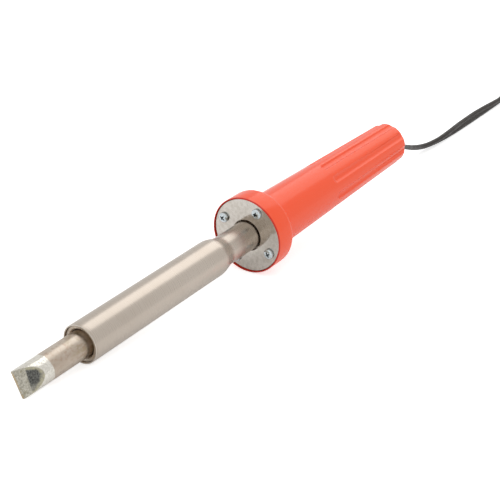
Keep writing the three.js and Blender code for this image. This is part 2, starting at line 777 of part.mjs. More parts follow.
function makeHank() {
  const steps = Math.round(loopSteps * hankEnd);
  const samples = steps * pointsPerStep;
  const curve = new FlatCurve(hankPoint, () => Math.PI / 2, samples);
  const freeGap = leastGap(curve, samples, cordThickness, Math.PI * hankFoldRadius);
  console.log(`hank: ${curve.getLength().toFixed(0)} mm, least gap to itself ${freeGap.toFixed(2)} mm`);
  return piece('cord_hank', tube(curve, leadOutline(), steps), finishes.blackVinyl);
}

// Strap round both bundles of runs
function makeTie() {
  const [cx, cy] = hankCentre;
  const slope = hankSlope * Math.sin(Math.PI * tieLength / hankRun);
  const drawn = hankDraw * waistShare(tieLength / 2);
  const edge = cordThickness / 2 * Math.hypot(1, slope) + gap;
  const near = hankHalfWidth(hankEnd) - drawn + edge;
  const far = hankHalfWidth(hankEnd - 1 / 2) - drawn + edge;
  const halfWidth = (near + far) / 2;
  const inside = hankLift + layerStep + cordWidth + gap - tieThickness;
  const corner = 2 * tieThickness;
  const outer = cutRectangle(halfWidth + tieThickness, inside / 2 + tieThickness, corner);
  const inner = cutRectangle(halfWidth, inside / 2, gap);
  const strap = cut(prism(outer, -tieLength / 2, tieLength / 2), [prism(inner, -tieLength, tieLength)]);
  const centre = [cx, cy - (near - far) / 2, inside / 2 + tieThickness];
  return piece('hank_tie', moved(strap, centre), finishes.tie);
}

// The lead's last length, from the hank's upper layer to the plug
function makeTail() {
  const start = hankPoint(1);
  const plugHeightAbove = plugHeight / 2;
  const drop = start.z - plugHeightAbove;
  const shares = [[0, 0, 90], [0.15, 0, 90], [0.5, 0.5, 45], [0.85, 1, 0], [1, 1, 0]];
  const points = shares.map(([along, down]) => (
    new THREE.Vector3(
      start.x - gap - (plugTail - 2 * gap) * along,
      start.y + plugInset * down,
      start.z - drop * down,
    )
  ));
  const curve = leadThrough(points, shares.map((place) => place[2]), tailSteps);
  console.log(`tail: ${curve.getLength().toFixed(0)} mm`);
  return piece('cord_tail', tube(curve, leadOutline(), tailSteps), finishes.blackVinyl);
}

// Moulded plug that lies on its broad side, with two flat blades
function makePlug() {
  const plug = new THREE.Group();
  const start = hankPoint(1);
  const back = start.x - plugTail;
  const shoulder = back - plugNeckLength;
  const face = shoulder - plugLength;
  const outline = (half, neckHalf) => {
    const side = [
      [face, half - plugChamfer],
      [face + plugChamfer, half],
      [shoulder - plugChamfer, half],
      [shoulder + plugShoulder, neckHalf],
      [back, neckHalf * plugTaperShare],
    ];
    return [...side, ...side.map(([x, y]) => [x, -y]).reverse()];
  };
  const middle = start.y + plugInset;
  const place = [0, middle, plugHeight / 2];
  const top = slab(outline(plugWidth / 2, plugNeckWidth / 2), plugHeight, 0, place);
  const side = slab(outline(plugHeight / 2, plugNeckHeight / 2), plugWidth, 90, place);
  const lanes = [1, -1].map((hand) => middle + hand * bladeSpacing / 2);
  const slots = lanes.map((lane) => block(
    2 * (bladeRoot + gap),
    bladeThickness + 2 * gap,
    bladeWidth + 2 * gap,
    [face, lane, plugHeight / 2],
  ));
  plug.add(piece('plug_body', cut(top.intersect(side), slots), finishes.blackVinyl));
  lanes.forEach((lane, i) => {
    const length = bladeReach + bladeRoot;
    const centre = [face + bladeRoot - length / 2, lane, plugHeight / 2];
    const blade = block(length, bladeThickness, bladeWidth, centre);
    const hole = new THREE.CylinderGeometry(bladeHoleRadius, bladeHoleRadius, 2 * overrun, smallSides);
    hole.translate(face - bladeReach + bladeHoleInset, lane, plugHeight / 2);
    plug.add(piece(`plug_blade_${i + 1}`, cut(blade, [solidOf(hole)]), finishes.brass));
  });
  return plug;
}

// The iron rests nose-down: it turns until its front pieces reach as low as its handle
function lowestPoint(meshes, angle) {
  const turn = new THREE.Matrix4().makeRotationY(-angle);
  const lows = meshes.map((mesh) => {
    const turnedGeometry = mesh.geometry.clone().applyMatrix4(turn);
    turnedGeometry.computeBoundingBox();
    return turnedGeometry.boundingBox.min.z;
  });
  return Math.min(...lows);
}

function restAngle(front, rear) {
  const halvings = 30;
  let low = 0;
  let high = Math.PI / 8;
  for (let i = 0; i < halvings; i += 1) {
    const middle = (low + high) / 2;
    if (lowestPoint(front, middle) > lowestPoint(rear, middle)) low = middle;
    else high = middle;
  }
  return low;
}

const part = new THREE.Group();

const tip = makeTip();
const barrel = makeBarrel();
const handle = makeHandle();
const iron = new THREE.Group();
iron.add(tip, makeSetScrew(), barrel, makeHeater(), makePlateStack(), handle, makeWiring(), makeCordEntry());
iron.rotation.y = -restAngle([tip, barrel], [handle]);
iron.updateMatrixWorld(true);
const ironBox = new THREE.Box3().setFromObject(iron, true);
iron.position.set(-(ironBox.min.x + ironBox.max.x) / 2, 0, -ironBox.min.z);
part.add(iron);
iron.updateMatrixWorld(true);
const axisPoint = (station) => iron.localToWorld(new THREE.Vector3(station, 0, 0));
const lead = new THREE.Group();
lead.add(makeFreeCord(axisPoint), makeHank(), makeTie(), makeTail(), makePlug());
lead.position.x = axisPoint(handleLength).x;
part.add(lead);

export default part;
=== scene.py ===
"""An electric soldering iron at rest: steel barrel, copper chisel tip, fluted red handle, flat twin lead.

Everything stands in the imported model's frame, +Z up. Shapes are written in millimetres, as in the CAD
source, and become metres when their mesh is made. Shapes of the iron are written along its own axis:
X is the station behind the handle's front face, and angles go from +Y towards +Z.
"""

from math import acos, atan, copysign, cos, hypot, pi, radians, sin, sqrt

import bmesh
import bpy
from mathutils import Matrix, Vector, noise


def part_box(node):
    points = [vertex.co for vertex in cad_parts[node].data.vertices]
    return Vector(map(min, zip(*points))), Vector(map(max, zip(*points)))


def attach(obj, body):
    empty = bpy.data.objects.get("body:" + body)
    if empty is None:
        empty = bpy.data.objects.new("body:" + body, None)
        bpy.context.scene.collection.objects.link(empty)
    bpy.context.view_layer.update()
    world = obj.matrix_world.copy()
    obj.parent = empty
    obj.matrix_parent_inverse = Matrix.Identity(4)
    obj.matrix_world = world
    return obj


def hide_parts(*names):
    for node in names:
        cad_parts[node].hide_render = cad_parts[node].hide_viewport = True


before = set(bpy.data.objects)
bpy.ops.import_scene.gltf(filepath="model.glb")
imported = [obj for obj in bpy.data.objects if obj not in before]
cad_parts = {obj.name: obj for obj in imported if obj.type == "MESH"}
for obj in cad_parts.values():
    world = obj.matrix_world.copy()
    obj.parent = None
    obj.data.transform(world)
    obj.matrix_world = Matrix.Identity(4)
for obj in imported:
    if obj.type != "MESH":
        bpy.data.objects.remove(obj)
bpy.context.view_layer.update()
scene = bpy.context.scene

MM = 0.001
GAP = 0.3

# The iron's place: it rests nose-down on its barrel's mouth and its handle's flange
IRON_PLACE = Vector((0.01142114, 0, 0.024857))
IRON_TILT = radians(-4.908044)
IRON = Matrix.Translation(IRON_PLACE) @ Matrix.Rotation(IRON_TILT, 4, "Y")

# Camera
CAMERA_PLACE = Vector((-0.60075, -0.43254, 0.31753))
CAMERA_AIM = Vector((0.75923, 0.53268, -0.37392))
FOCAL_LENGTH = 93.778
SENSOR_WIDTH = 36


def stand(name, data, place, direction):
    """An object that looks along a direction."""
    made = bpy.data.objects.new(name, data)
    scene.collection.objects.link(made)
    made.location = place
    made.rotation_mode = "QUATERNION"
    made.rotation_quaternion = direction.to_track_quat("-Z", "Y")
    return made


def make_camera():
    data = bpy.data.cameras.new("camera")
    data.lens = FOCAL_LENGTH
    data.sensor_width = SENSOR_WIDTH
    data.clip_start = 0.01
    data.clip_end = 50
    scene.camera = stand("camera", data, CAMERA_PLACE, CAMERA_AIM)


make_camera()


# --- Mesh helpers ---


def mix(low, high, share):
    return low + (high - low) * share


def shares(steps):
    """Even shares from 0 to 1, both among them."""
    return [i / steps for i in range(steps + 1)]


def polar(reach, angle):
    return reach * cos(angle), reach * sin(angle)


def smooth(share):
    held = min(max(share, 0), 1)
    return held * held * (3 - 2 * held)


def shade(piece, angle=32):
    """Smooth faces, with edges sharper than the angle left crisp."""
    piece.data.shade_smooth()
    piece.data.set_sharp_from_angle(angle=radians(angle))


def make_piece(name, points, faces):
    """A mesh object from points in millimetres, its faces turned outwards."""
    mesh = bpy.data.meshes.new(name)
    mesh.from_pydata([Vector(point) * MM for point in points], [], faces)
    shape = bmesh.new()
    shape.from_mesh(mesh)
    bmesh.ops.recalc_face_normals(shape, faces=shape.faces)
    shape.to_mesh(mesh)
    shape.free()
    piece = bpy.data.objects.new(name, mesh)
    scene.collection.objects.link(piece)
    shade(piece)
    return piece


def loft(rings, caps=True):
    """Points and faces of a skin over rings of equal count."""
    count = len(rings[0])
    points = [point for ring in rings for point in ring]
    faces = []
    for i in range(len(rings) - 1):
        for j in range(count):
            k = (j + 1) % count
            faces.append((i * count + j, i * count + k, (i + 1) * count + k, (i + 1) * count + j))
    if caps:
        faces.append(tuple(reversed(range(count))))
        faces.append(tuple(range((len(rings) - 1) * count, len(rings) * count)))
    return points, faces


def turned(name, profile, sides, radius_at=None, start_angle=0):
    """A turned shape along X from (station, radius) points. A point on the axis is one vertex."""
    points = []
    rows = []
    loop = profile[0] == profile[-1]
    for station, radius in profile[:-1] if loop else profile:
        if radius == 0:
            rows.append([len(points)])
            points.append((station, 0, 0))
            continue
        row = []
        for j in range(sides):
            angle = radians(start_angle) + 2 * pi * j / sides
            reach = radius_at(station, radius, angle) if radius_at else radius
            row.append(len(points))
            points.append((station, *polar(reach, angle)))
        rows.append(row)
    faces = []
    for near, far in zip(rows, rows[1:] + rows[:1] if loop else rows[1:]):
        for j in range(sides):
            k = (j + 1) % sides
            if len(near) == 1:
                faces.append((near[0], far[k], far[j]))
            elif len(far) == 1:
                faces.append((near[j], near[k], far[0]))
            else:
                faces.append((near[j], near[k], far[k], far[j]))
    return make_piece(name, points, faces)


def arc(station, radius, reach, start, end, steps):
    """Profile points of a round edge, its angles in degrees from the station axis."""
    found = []
    for share in shares(steps):
        along, out = polar(reach, radians(mix(start, end, share)))
        found.append((station + along, radius + out))
    return found


def block(name, size, place):
    """A box in millimetres, used to cut."""
    half = Vector(size) / 2
    signs = [(sx, sy, sz) for sx in (-1, 1) for sy in (-1, 1) for sz in (-1, 1)]
    corners = [Vector(place) + Vector((half.x * sx, half.y * sy, half.z * sz)) for sx, sy, sz in signs]
    faces = [(0, 1, 3, 2), (4, 6, 7, 5), (0, 4, 5, 1), (2, 3, 7, 6), (0, 2, 6, 4), (1, 5, 7, 3)]
    return make_piece(name, corners, faces)


def pin(name, radius, low, high, sides):
    """A cylinder along Z between two heights."""
    circle = [polar(radius, 2 * pi * j / sides) for j in range(sides)]
    return make_piece(name, *loft([[(*point, height) for point in circle] for height in (low, high)]))


def move(piece, matrix):
    """Moves the mesh itself. The matrix's lengths are in millimetres."""
    scaled = matrix.copy()
    scaled.translation = matrix.translation * MM
    piece.data.transform(scaled)
    return piece


def carve(piece, cutters, angle=32):
    """Cuts the shapes out of the piece and removes them."""
    for cutter in cutters:
        modifier = piece.modifiers.new("carve", "BOOLEAN")
        modifier.operation = "DIFFERENCE"
        modifier.solver = "EXACT"
        modifier.object = cutter
    settle(piece)
    for cutter in cutters:
        bpy.data.objects.remove(cutter)
    shade(piece, angle)
    return piece


def settle(piece):
    """Turns the piece's modifiers into its mesh."""
    bpy.context.view_layer.update()
    graph = bpy.context.evaluated_depsgraph_get()
    made = bpy.data.meshes.new_from_object(piece.evaluated_get(graph))
    piece.modifiers.clear()
    piece.data = made
    made.name = piece.name


def soften(piece, width, segments=3, angle=30):
    """Rounds the piece's edges that are sharper than the angle."""
    modifier = piece.modifiers.new("edges", "BEVEL")
    modifier.width = width * MM
    modifier.segments = segments
    modifier.limit_method = "ANGLE"
    modifier.angle_limit = radians(angle)
    modifier.harden_normals = True


def dress(piece, body, slot, material, *nodes, place=None):
    """Puts the piece in place, on its body, with its finish, in place of the CAD nodes it stands for."""
    if place is not None:
        piece.matrix_world = place
    piece.data.materials.clear()
    piece.data.materials.append(material)
    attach(piece, body)
    if nodes:
        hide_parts(*nodes)


# --- Materials ---


class Finish:
    """A node material. Patterns are laid in the piece's own coordinates, in metres."""

    def __init__(self, name, colour, roughness, metallic=0.0):
        self.material = bpy.data.materials.new(name)
        self.material.use_nodes = True
        self.tree = self.material.node_tree
        self.shader = self.tree.nodes["Principled BSDF"]
        self.set(Metallic=metallic, Base_Color=(*colour, 1), Roughness=roughness)
        self.place = self.add("ShaderNodeTexCoord").outputs["Object"]

    def add(self, kind, **inputs):
        node = self.tree.nodes.new(kind)
        for key, value in inputs.items():
            self.feed(node.inputs[key.replace("_", " ")], value)
        return node

    def feed(self, socket, value):
        if isinstance(value, bpy.types.NodeSocket):
            self.tree.links.new(value, socket)
        else:
            socket.default_value = value

    def stretched(self, scale):
        """The piece's coordinates, stretched along each axis."""
        return self.add("ShaderNodeMapping", Vector=self.place, Scale=scale).outputs["Vector"]

    def noise(self, scale, detail=3, roughness=0.55, stretch=None):
        place = self.stretched(stretch) if stretch else self.place
        node = self.add("ShaderNodeTexNoise", Vector=place, Scale=scale, Detail=detail, Roughness=roughness)
        return node.outputs["Fac"]

    def cells(self, scale):
        return self.add("ShaderNodeTexVoronoi", Vector=self.place, Scale=scale).outputs["Distance"]

    def waves(self, scale, distortion):
        node = self.add("ShaderNodeTexWave", Vector=self.place, Scale=scale, Distortion=distortion, Detail=2)
        return node.outputs["Fac"]

    def span(self, value, low, high, to_low=0.0, to_high=1.0):
        """Maps a range of values smoothly to another."""
        limits = {"From_Min": low, "From_Max": high, "To_Min": to_low, "To_Max": to_high}
        node = self.add("ShaderNodeMapRange", Value=value, **limits)
        node.interpolation_type = "SMOOTHSTEP"
        return node.outputs["Result"]

    def math(self, operation, first, second=0.0):
        node = self.add("ShaderNodeMath")
        node.operation = operation
        self.feed(node.inputs[0], first)
        self.feed(node.inputs[1], second)
        return node.outputs["Value"]

    def times(self, first, second):
        return self.math("MULTIPLY", first, second)

    def plus(self, first, second):
        return self.math("ADD", first, second)

    def rising(self, value, reaches, least=0.0, most=1.0):
        """A mask that grows along a length in metres, between two reaches in millimetres."""
        low, high = reaches
        return self.span(value, low * MM, high * MM, least, most)

    def falling(self, value, reaches, most=1.0, least=0.0):
        return self.rising(value, reaches, most, least)

    def radius(self):
        """Distance from the piece's X axis."""
        square = [self.math("POWER", self.axis(name), 2.0) for name in "YZ"]
        return self.math("SQRT", self.plus(*square))

    def axis(self, name):
        """One of the piece's own coordinates."""
        return self.add("ShaderNodeSeparateXYZ", Vector=self.place).outputs[name]

    def blend(self, share, low, high):
        """A colour between two, by share."""
        node = self.add("ShaderNodeMix")
        node.data_type = "RGBA"
        self.feed(node.inputs[0], share)
        for socket, colour in ((node.inputs[6], low), (node.inputs[7], high)):
            self.feed(socket, (*colour, 1) if isinstance(colour, tuple) and len(colour) == 3 else colour)
        return node.outputs[2]

    def colour(self, value):
        self.feed(self.shader.inputs["Base Color"], value)

    def roughness(self, value):
        self.feed(self.shader.inputs["Roughness"], value)

    def mottle(self, pattern, tone_span, tones, gloss, gloss_span=(0.3, 0.7)):
        """Colour and roughness that follow one pattern."""
        self.colour(self.blend(self.span(pattern, *tone_span), *tones))
        self.roughness(self.span(pattern, *gloss_span, *gloss))

    def bump(self, height, distance, strength=1.0):
        """Adds a bump to those already there. The distance, in metres, is how far a height of 1 rises."""
        node = self.add("ShaderNodeBump", Height=height, Distance=distance, Strength=strength)
        socket = self.shader.inputs["Normal"]
        if socket.links:
            self.feed(node.inputs["Normal"], socket.links[0].from_socket)
        self.feed(socket, node.outputs["Normal"])

    def set(self, **inputs):
        for key, value in inputs.items():
            self.shader.inputs[key.replace("_", " ")].default_value = value
        return self


# Where finishes change, in millimetres: stations, distances from the piece's own axis, and on the
# tip distances across its faces
LIP_SHADE_STATIONS = (0.6, 1.1)
LIP_SHADE_RADII = (24.9, 25.5)
HEAT_STATIONS = (-153.6, -152)
MOUTH_STATIONS = (-150, -140)
BORE_RADII = (10.88, 11)
RIM_HIGHLIGHT_STATIONS = (-153.9, -153.5)
RIM_HIGHLIGHT_RADII = (11, 11.3)
NECK_STATIONS = (-30, -22)
RECESS_SHADE_STATIONS = (-1.35, -1.05)
RECESS_SHADE_RADII = (2.4, 2.5)
STAIN_STATIONS = (-172, -156)
TINNED_STATION = -182.2
PATCH_STATION = -196.2
COPPER_STATIONS = (-201.25, -200.9)
EDGE_BLUR = 0.3
FACE_RADII = (7.65, 7.85)
PATCH_RADII = (6.4, 7.3)
RIM_RADII = (6.2, 6.8)
LOW_SIDE_REACHES = (2, 5.5)
CHISEL_ANGLE = 157


def red_plastic():
    """Glossy moulded plastic: faint flow marks, scuffs, a fine mould grain, and painted shade: a deeper red
    round the plate.
    """
    look = Finish("red_plastic", (0.99, 0.082, 0.022), 0.3)
    flow = look.noise(14, stretch=(0.35, 1, 1))
    scuffs = look.span(look.noise(90, detail=5, roughness=0.7), 0.6, 0.75)
    base = look.blend(look.span(flow, 0.3, 0.7), (0.98, 0.082, 0.024), (0.99, 0.096, 0.03))
    base = look.blend(look.times(scuffs, 0.2), base, (0.9, 0.12, 0.06))
    # Painted shade: the lip round the plate is coloured a deeper red, where its crease lies in shade
    lip = look.times(look.falling(look.radius(), LIP_SHADE_RADII, 0.9), look.falling(look.axis("X"), LIP_SHADE_STATIONS))
    look.colour(look.blend(lip, base, (0.6, 0.014, 0.008)))
    look.roughness(look.plus(look.span(flow, 0.2, 0.8, 0.17, 0.24), look.times(scuffs, 0.12)))
    look.bump(look.noise(1100, detail=2), 0.00002, 0.25)
    look.bump(flow, 0.0004, 0.2)
    return look.set(Specular_Tint=(1, 0.86, 0.68, 1)).material


def barrel_steel():
    """Satin steel tube: polish marks round it, a heat tint at the mouth and a painted highlight on its rim,
    a streaked neck.
    """
    look = Finish("barrel_steel", (0.5, 0.45, 0.4), 0.28, metallic=1)
    rings = look.noise(60, detail=4, roughness=0.7, stretch=(40, 1, 1))
    bands = look.noise(40, stretch=(0.12, 1, 1))
    blotches = look.noise(55, detail=5, roughness=0.65)
    station = look.axis("X")
    heat = look.times(look.falling(station, HEAT_STATIONS), look.span(blotches, 0.3, 0.7))
    mouth = look.falling(station, MOUTH_STATIONS)
    inside = look.times(look.falling(look.radius(), BORE_RADII), mouth)
    heat = look.math("MAXIMUM", look.times(heat, 0.45), inside)
    tone = look.blend(look.span(bands, 0.3, 0.7), (0.52, 0.455, 0.39), (0.56, 0.495, 0.43))
    tone = look.blend(look.span(blotches, 0.45, 0.8, 0.0, 0.35), tone, (0.46, 0.385, 0.315))
    streaks = look.noise(120, detail=4, stretch=(0.06, 1, 1))
    on_neck = look.rising(station, NECK_STATIONS)
    streaks = look.times(look.span(streaks, 0.42, 0.62, 0.0, 0.6), on_neck)
    tone = look.blend(streaks, tone, (0.3, 0.255, 0.205))
    # Painted highlight: the mouth's end face is coloured lighter, as if its edge caught the light
    painted_rim_highlight = look.falling(station, RIM_HIGHLIGHT_STATIONS, 0.8)
    painted_rim_highlight = look.times(painted_rim_highlight, look.rising(look.radius(), RIM_HIGHLIGHT_RADII))
    tone = look.blend(heat, tone, (0.34, 0.27, 0.205))
    look.colour(look.blend(painted_rim_highlight, tone, (0.68, 0.63, 0.57)))
    look.roughness(look.span(rings, 0.25, 0.75, 0.27, 0.285))
    look.bump(rings, 0.00001, 0.015)
    look.bump(bands, 0.0002, 0.08)
    look.bump(blotches, 0.0003, 0.12)
    return look.set(Anisotropic=0.2).material


def inner_steel():
    """Plain turned steel of the parts inside, a little oxidised."""
    look = Finish("inner_steel", (0.4, 0.36, 0.32), 0.4, metallic=1)
    stains = look.noise(160, detail=5, roughness=0.65)
    look.mottle(stains, (0.4, 0.7), ((0.68, 0.61, 0.53), (0.5, 0.41, 0.32)), (0.34, 0.55))
    look.bump(look.noise(900), 0.00003, 0.4)
    return look.material


def plate_steel():
    """Rolled and tumbled sheet: mottled, pitted and still shiny enough to mirror the neck."""
    look = Finish("plate_steel", (0.6, 0.56, 0.5), 0.2, metallic=1)
    mottle = look.noise(420, detail=4, roughness=0.6)
    clouds = look.noise(55)
    pits = look.span(look.cells(900), 0.0, 0.32)
    tone = look.blend(look.span(mottle, 0.35, 0.65), (0.55, 0.51, 0.455), (0.66, 0.62, 0.57))
    look.colour(look.blend(look.span(clouds, 0.5, 0.75, 0.0, 0.4), tone, (0.5, 0.46, 0.41)))
    look.roughness(look.span(mottle, 0.3, 0.7, 0.09, 0.16))
    look.bump(pits, 0.00001, 0.15)
    look.bump(mottle, 0.000015, 0.12)
    return look.material


def zinc():
    """Bright blue-white zinc plating on a screw, with painted shade in the recess of its head."""
    look = Finish("zinc", (0.62, 0.67, 0.68), 0.22, metallic=1)
    grain = look.noise(700, detail=4)
    tone = look.blend(look.span(grain, 0.3, 0.7), (0.52, 0.58, 0.6), (0.73, 0.79, 0.81))
    # Painted shade: the cross recess of each head is coloured near black
    recess_shade = look.falling(look.radius(), RECESS_SHADE_RADII, 0.85)
    recess_shade = look.times(recess_shade, look.rising(look.axis("X"), RECESS_SHADE_STATIONS))
    look.colour(look.blend(recess_shade, tone, (0.07, 0.075, 0.08)))
    look.roughness(look.span(grain, 0.3, 0.7, 0.08, 0.18))
    look.bump(grain, 0.00002, 0.2)
    return look.material


def tip_metal():
    """Iron-plated copper: a pinkish grey shank with stains, a tinned end with burnt flux, a worn edge."""
    look = Finish("tip_metal", (0.5, 0.44, 0.4), 0.3, metallic=1)
    station = look.axis("X")
    ripple = look.noise(260)
    swing = look.math("SUBTRACT", ripple, 0.5)
    swept = look.plus(station, look.times(swing, 0.0025))
    tinned = look.falling(swept, (TINNED_STATION - EDGE_BLUR, TINNED_STATION + EDGE_BLUR))
    # Shank
    streaks = look.noise(90, detail=5, roughness=0.7, stretch=(0.3, 1, 1))
    spots = look.span(look.noise(230, detail=4, roughness=0.6), 0.64, 0.72)
    shank = look.blend(look.span(streaks, 0.3, 0.72), (0.58, 0.51, 0.43), (0.48, 0.395, 0.32))
    stained = look.rising(station, STAIN_STATIONS, 0.1, 0.8)
    scorch = look.noise(150, detail=5, roughness=0.7, stretch=(1, 1.6, 1.6))
    shank = look.blend(look.times(stained, look.span(scorch, 0.42, 0.6)), shank, (0.34, 0.27, 0.17))
    blush = look.span(look.noise(420, detail=5, roughness=0.7), 0.45, 0.7, 0.0, 0.6)
    shank = look.blend(blush, shank, (0.4, 0.27, 0.2))
    shank = look.blend(look.times(spots, 0.7), shank, (0.2, 0.12, 0.08))
    # Tinned end, with a burnt patch on the back half of each chisel face. The faces' tin is darker than the
    # round sides': partly real flux mottling, partly painted shade.
    grain = look.noise(800, detail=5, roughness=0.7)
    face = look.falling(look.radius(), FACE_RADII)
    bright = look.blend(look.span(grain, 0.35, 0.7), (0.8, 0.77, 0.7), (0.64, 0.61, 0.54))
    # Painted shade in part: the chisel faces' tin is coloured darker than the round sides', standing in for
    # the duller surroundings the faces mirror
    tin = look.blend(look.span(grain, 0.35, 0.65), (0.36, 0.34, 0.28), (0.6, 0.57, 0.49))
    crust = look.span(look.noise(330, detail=4, roughness=0.65), 0.5, 0.7, 0.0, 0.6)
    tin = look.blend(crust, tin, (0.3, 0.27, 0.16))
    lean = radians(CHISEL_ANGLE)
    down_face = look.plus(
        look.times(look.axis("Y"), -sin(lean)),
        look.times(look.axis("Z"), cos(lean)),
    )
    ragged = look.times(swing, 0.002)
    front = look.plus(station, look.plus(ragged, look.times(down_face, 0.12)))
    front = look.rising(front, (PATCH_STATION - EDGE_BLUR, PATCH_STATION + EDGE_BLUR))
    reach = look.plus(look.radius(), ragged)
    rim = look.times(look.rising(reach, RIM_RADII), front)
    tin = look.blend(look.times(rim, look.span(grain, 0.4, 0.6, 0.1, 0.6)), tin, (0.4, 0.37, 0.2))
    low_side = look.falling(down_face, LOW_SIDE_REACHES, 1.0, 0.45)
    burnt = look.times(look.times(look.falling(reach, PATCH_RADII), front), low_side)
    speckle = look.noise(1500, roughness=0.7)
    char = look.blend(look.span(speckle, 0.35, 0.7), (0.06, 0.06, 0.055), (0.26, 0.26, 0.24))
    tin = look.blend(face, bright, look.blend(burnt, tin, char))
    # Copper shows along the worn edge
    worn = look.times(look.falling(station, COPPER_STATIONS), look.span(ripple, 0.35, 0.6))
    tin = look.blend(look.times(worn, 0.7), tin, (0.46, 0.33, 0.18))
    look.colour(look.blend(tinned, shank, tin))
    shank_rough = look.span(streaks, 0.3, 0.7, 0.28, 0.38)
    tin_rough = look.plus(look.span(grain, 0.3, 0.7, 0.14, 0.28), look.times(burnt, 0.4))
    rough = look.add("ShaderNodeMix")
    look.feed(rough.inputs[0], tinned)
    look.feed(rough.inputs[2], shank_rough)
    look.feed(rough.inputs[3], tin_rough)
    look.roughness(rough.outputs[0])
    look.bump(look.times(grain, look.times(tinned, face)), 0.0001, 0.4)
    look.bump(look.times(speckle, burnt), 0.00015, 0.7)
    look.bump(streaks, 0.00006, 0.25)
    return look.material


def vinyl(name="lead_vinyl", colour=(0.0135, 0.0105, 0.0085), roughness=0.36):
    """Soft black vinyl, slightly satin and dusty."""
    look = Finish(name, colour, roughness)
    dust = look.noise(120, detail=5, roughness=0.65)
    pale = tuple(channel * 1.7 for channel in colour)
    look.mottle(dust, (0.45, 0.8), (colour, pale), (roughness - 0.04, roughness + 0.12))
    look.bump(look.noise(1400), 0.00003, 0.35)
    return look.set(Specular_IOR_Level=0.32, Specular_Tint=(1, 0.9, 0.8, 1)).material


def ceramic():
    look = Finish("ceramic", (0.8, 0.76, 0.68), 0.6)
    scorch = look.noise(70, detail=4)
    look.mottle(scorch, (0.45, 0.8), ((0.8, 0.76, 0.68), (0.56, 0.46, 0.35)), (0.55, 0.75))
    look.bump(look.noise(1600), 0.00005, 0.4)
    return look.material


def mica():
    look = Finish("mica", (0.45, 0.34, 0.14), 0.35)
    flakes = look.cells(160)
    look.mottle(flakes, (0.1, 0.7), ((0.5, 0.39, 0.18), (0.34, 0.24, 0.09)), (0.25, 0.45), (0.1, 0.7))
    look.bump(flakes, 0.00006, 0.3)
    return look.material


def heater_wire():
    look = Finish("heater_wire", (0.3, 0.27, 0.25), 0.4, metallic=1)
    oxide = look.noise(300, detail=4)
    look.mottle(oxide, (0.35, 0.7), ((0.33, 0.3, 0.28), (0.15, 0.13, 0.13)), (0.35, 0.6))
    look.bump(oxide, 0.00003, 0.4)
    return look.material


def fibre():
    look = Finish("fibre", (0.28, 0.13, 0.06), 0.8)
    strands = look.noise(300, detail=5, roughness=0.7, stretch=(1, 0.25, 1))
    look.mottle(strands, (0.3, 0.7), ((0.22, 0.1, 0.045), (0.36, 0.19, 0.095)), (0.7, 0.9))
    look.bump(strands, 0.0001, 0.4)
    return look.material


def glass_sleeve():
    """Braided glass fibre."""
    look = Finish("glass_sleeve", (0.78, 0.75, 0.68), 0.8)
    braid = look.waves(420, 3)
    look.colour(look.blend(braid, (0.82, 0.79, 0.72), (0.66, 0.61, 0.52)))
    look.roughness(look.span(braid, 0, 1, 0.7, 0.9))
    look.bump(braid, 0.00015, 0.5)
    return look.material


def brass(name="brass", colour=(0.7, 0.5, 0.22)):
    look = Finish(name, colour, 0.3, metallic=1)
    tarnish = look.noise(140, detail=5, roughness=0.65)
    dull = tuple(channel * share for channel, share in zip(colour, (0.72, 0.66, 0.6)))
    look.mottle(tarnish, (0.4, 0.75), (colour, dull), (0.2, 0.42))
    look.bump(look.noise(500, stretch=(0.2, 1, 1)), 0.00003, 0.4)
    return look.material


def webbing():
    """Woven black strap."""
    look = Finish("webbing", (0.025, 0.025, 0.027), 0.85)
    weave = look.waves(520, 1.5)
    fuzz = look.noise(1500, detail=4)
    look.colour(look.blend(weave, (0.02, 0.02, 0.022), (0.055, 0.055, 0.058)))
    look.roughness(look.span(fuzz, 0.3, 0.7, 0.75, 0.95))
    look.bump(weave, 0.00025, 0.6)
    look.bump(fuzz, 0.0002, 0.5)
    return look.set(Sheen_Weight=0.3).material


INNER_STEEL = inner_steel()
ZINC = zinc()
LEAD_VINYL = vinyl()
PLUG_VINYL = vinyl("plug_vinyl", (0.022, 0.021, 0.02), 0.38)
CERAMIC = ceramic()
HEATER_WIRE = heater_wire()
GLASS_SLEEVE = glass_sleeve()
CONNECTOR_BRASS = brass()
BLADE_BRASS = brass("blade_brass", (0.78, 0.62, 0.34))

# --- The lead: free run, hank and tail in one piece ---

HANDLE_LENGTH = 178
LEAD_WIDTH = 7.6
LEAD_THICKNESS = 3.8
LEAD_STEP = 1.5
LEAD_INSIDE = 50
EXIT_STRAIGHT = 4
GROOVE_HALF = 0.5
WEB_HALF = 1.0
LOBE_STEPS = 12
FREE_SPAN_STEPS = 24
TAIL_SPAN_STEPS = 16

# Points of the free lead: distance behind the handle's end, distance across, height, and the turn of
# its broad side in degrees
FREE_ROUTE = [
    (10.4, 0.5, 40.3, 8), (16.4, 2, 38.8, 18), (22, 4.6, 35.9, 26),
    (28.5, 8.2, 32.2, 30), (38, 12.9, 27.2, 26), (51, 17.8, 21.2, 14),
    (66, 21.8, 15.9, 4), (81, 24.8, 10.9, -8), (96, 26.6, 6.8, -22),
    (111, 27.1, 4.3, -32), (129, 27.1, 3.5, -42), (146, 27.6, 3.7, -60),
    (161, 28.8, 3.8, -76), (179, 30.5, 3.9, -92), (199, 32.4, 3.9, -101),
    (216, 33.9, 3.9, -100), (233, 35.1, 3.9, -88), (251, 36.3, 3.8, -70),
    (268, 37.6, 3.7, -58), (284, 38.8, 3.9, -66), (308, 30.9, 3.9, -80),
    (326.3, 9.4, 3.9, -90), (333, -20, 3.9, -90), (326.3, -49.4, 3.9, -90),
    (308, -70.9, 3.9, -90),
]

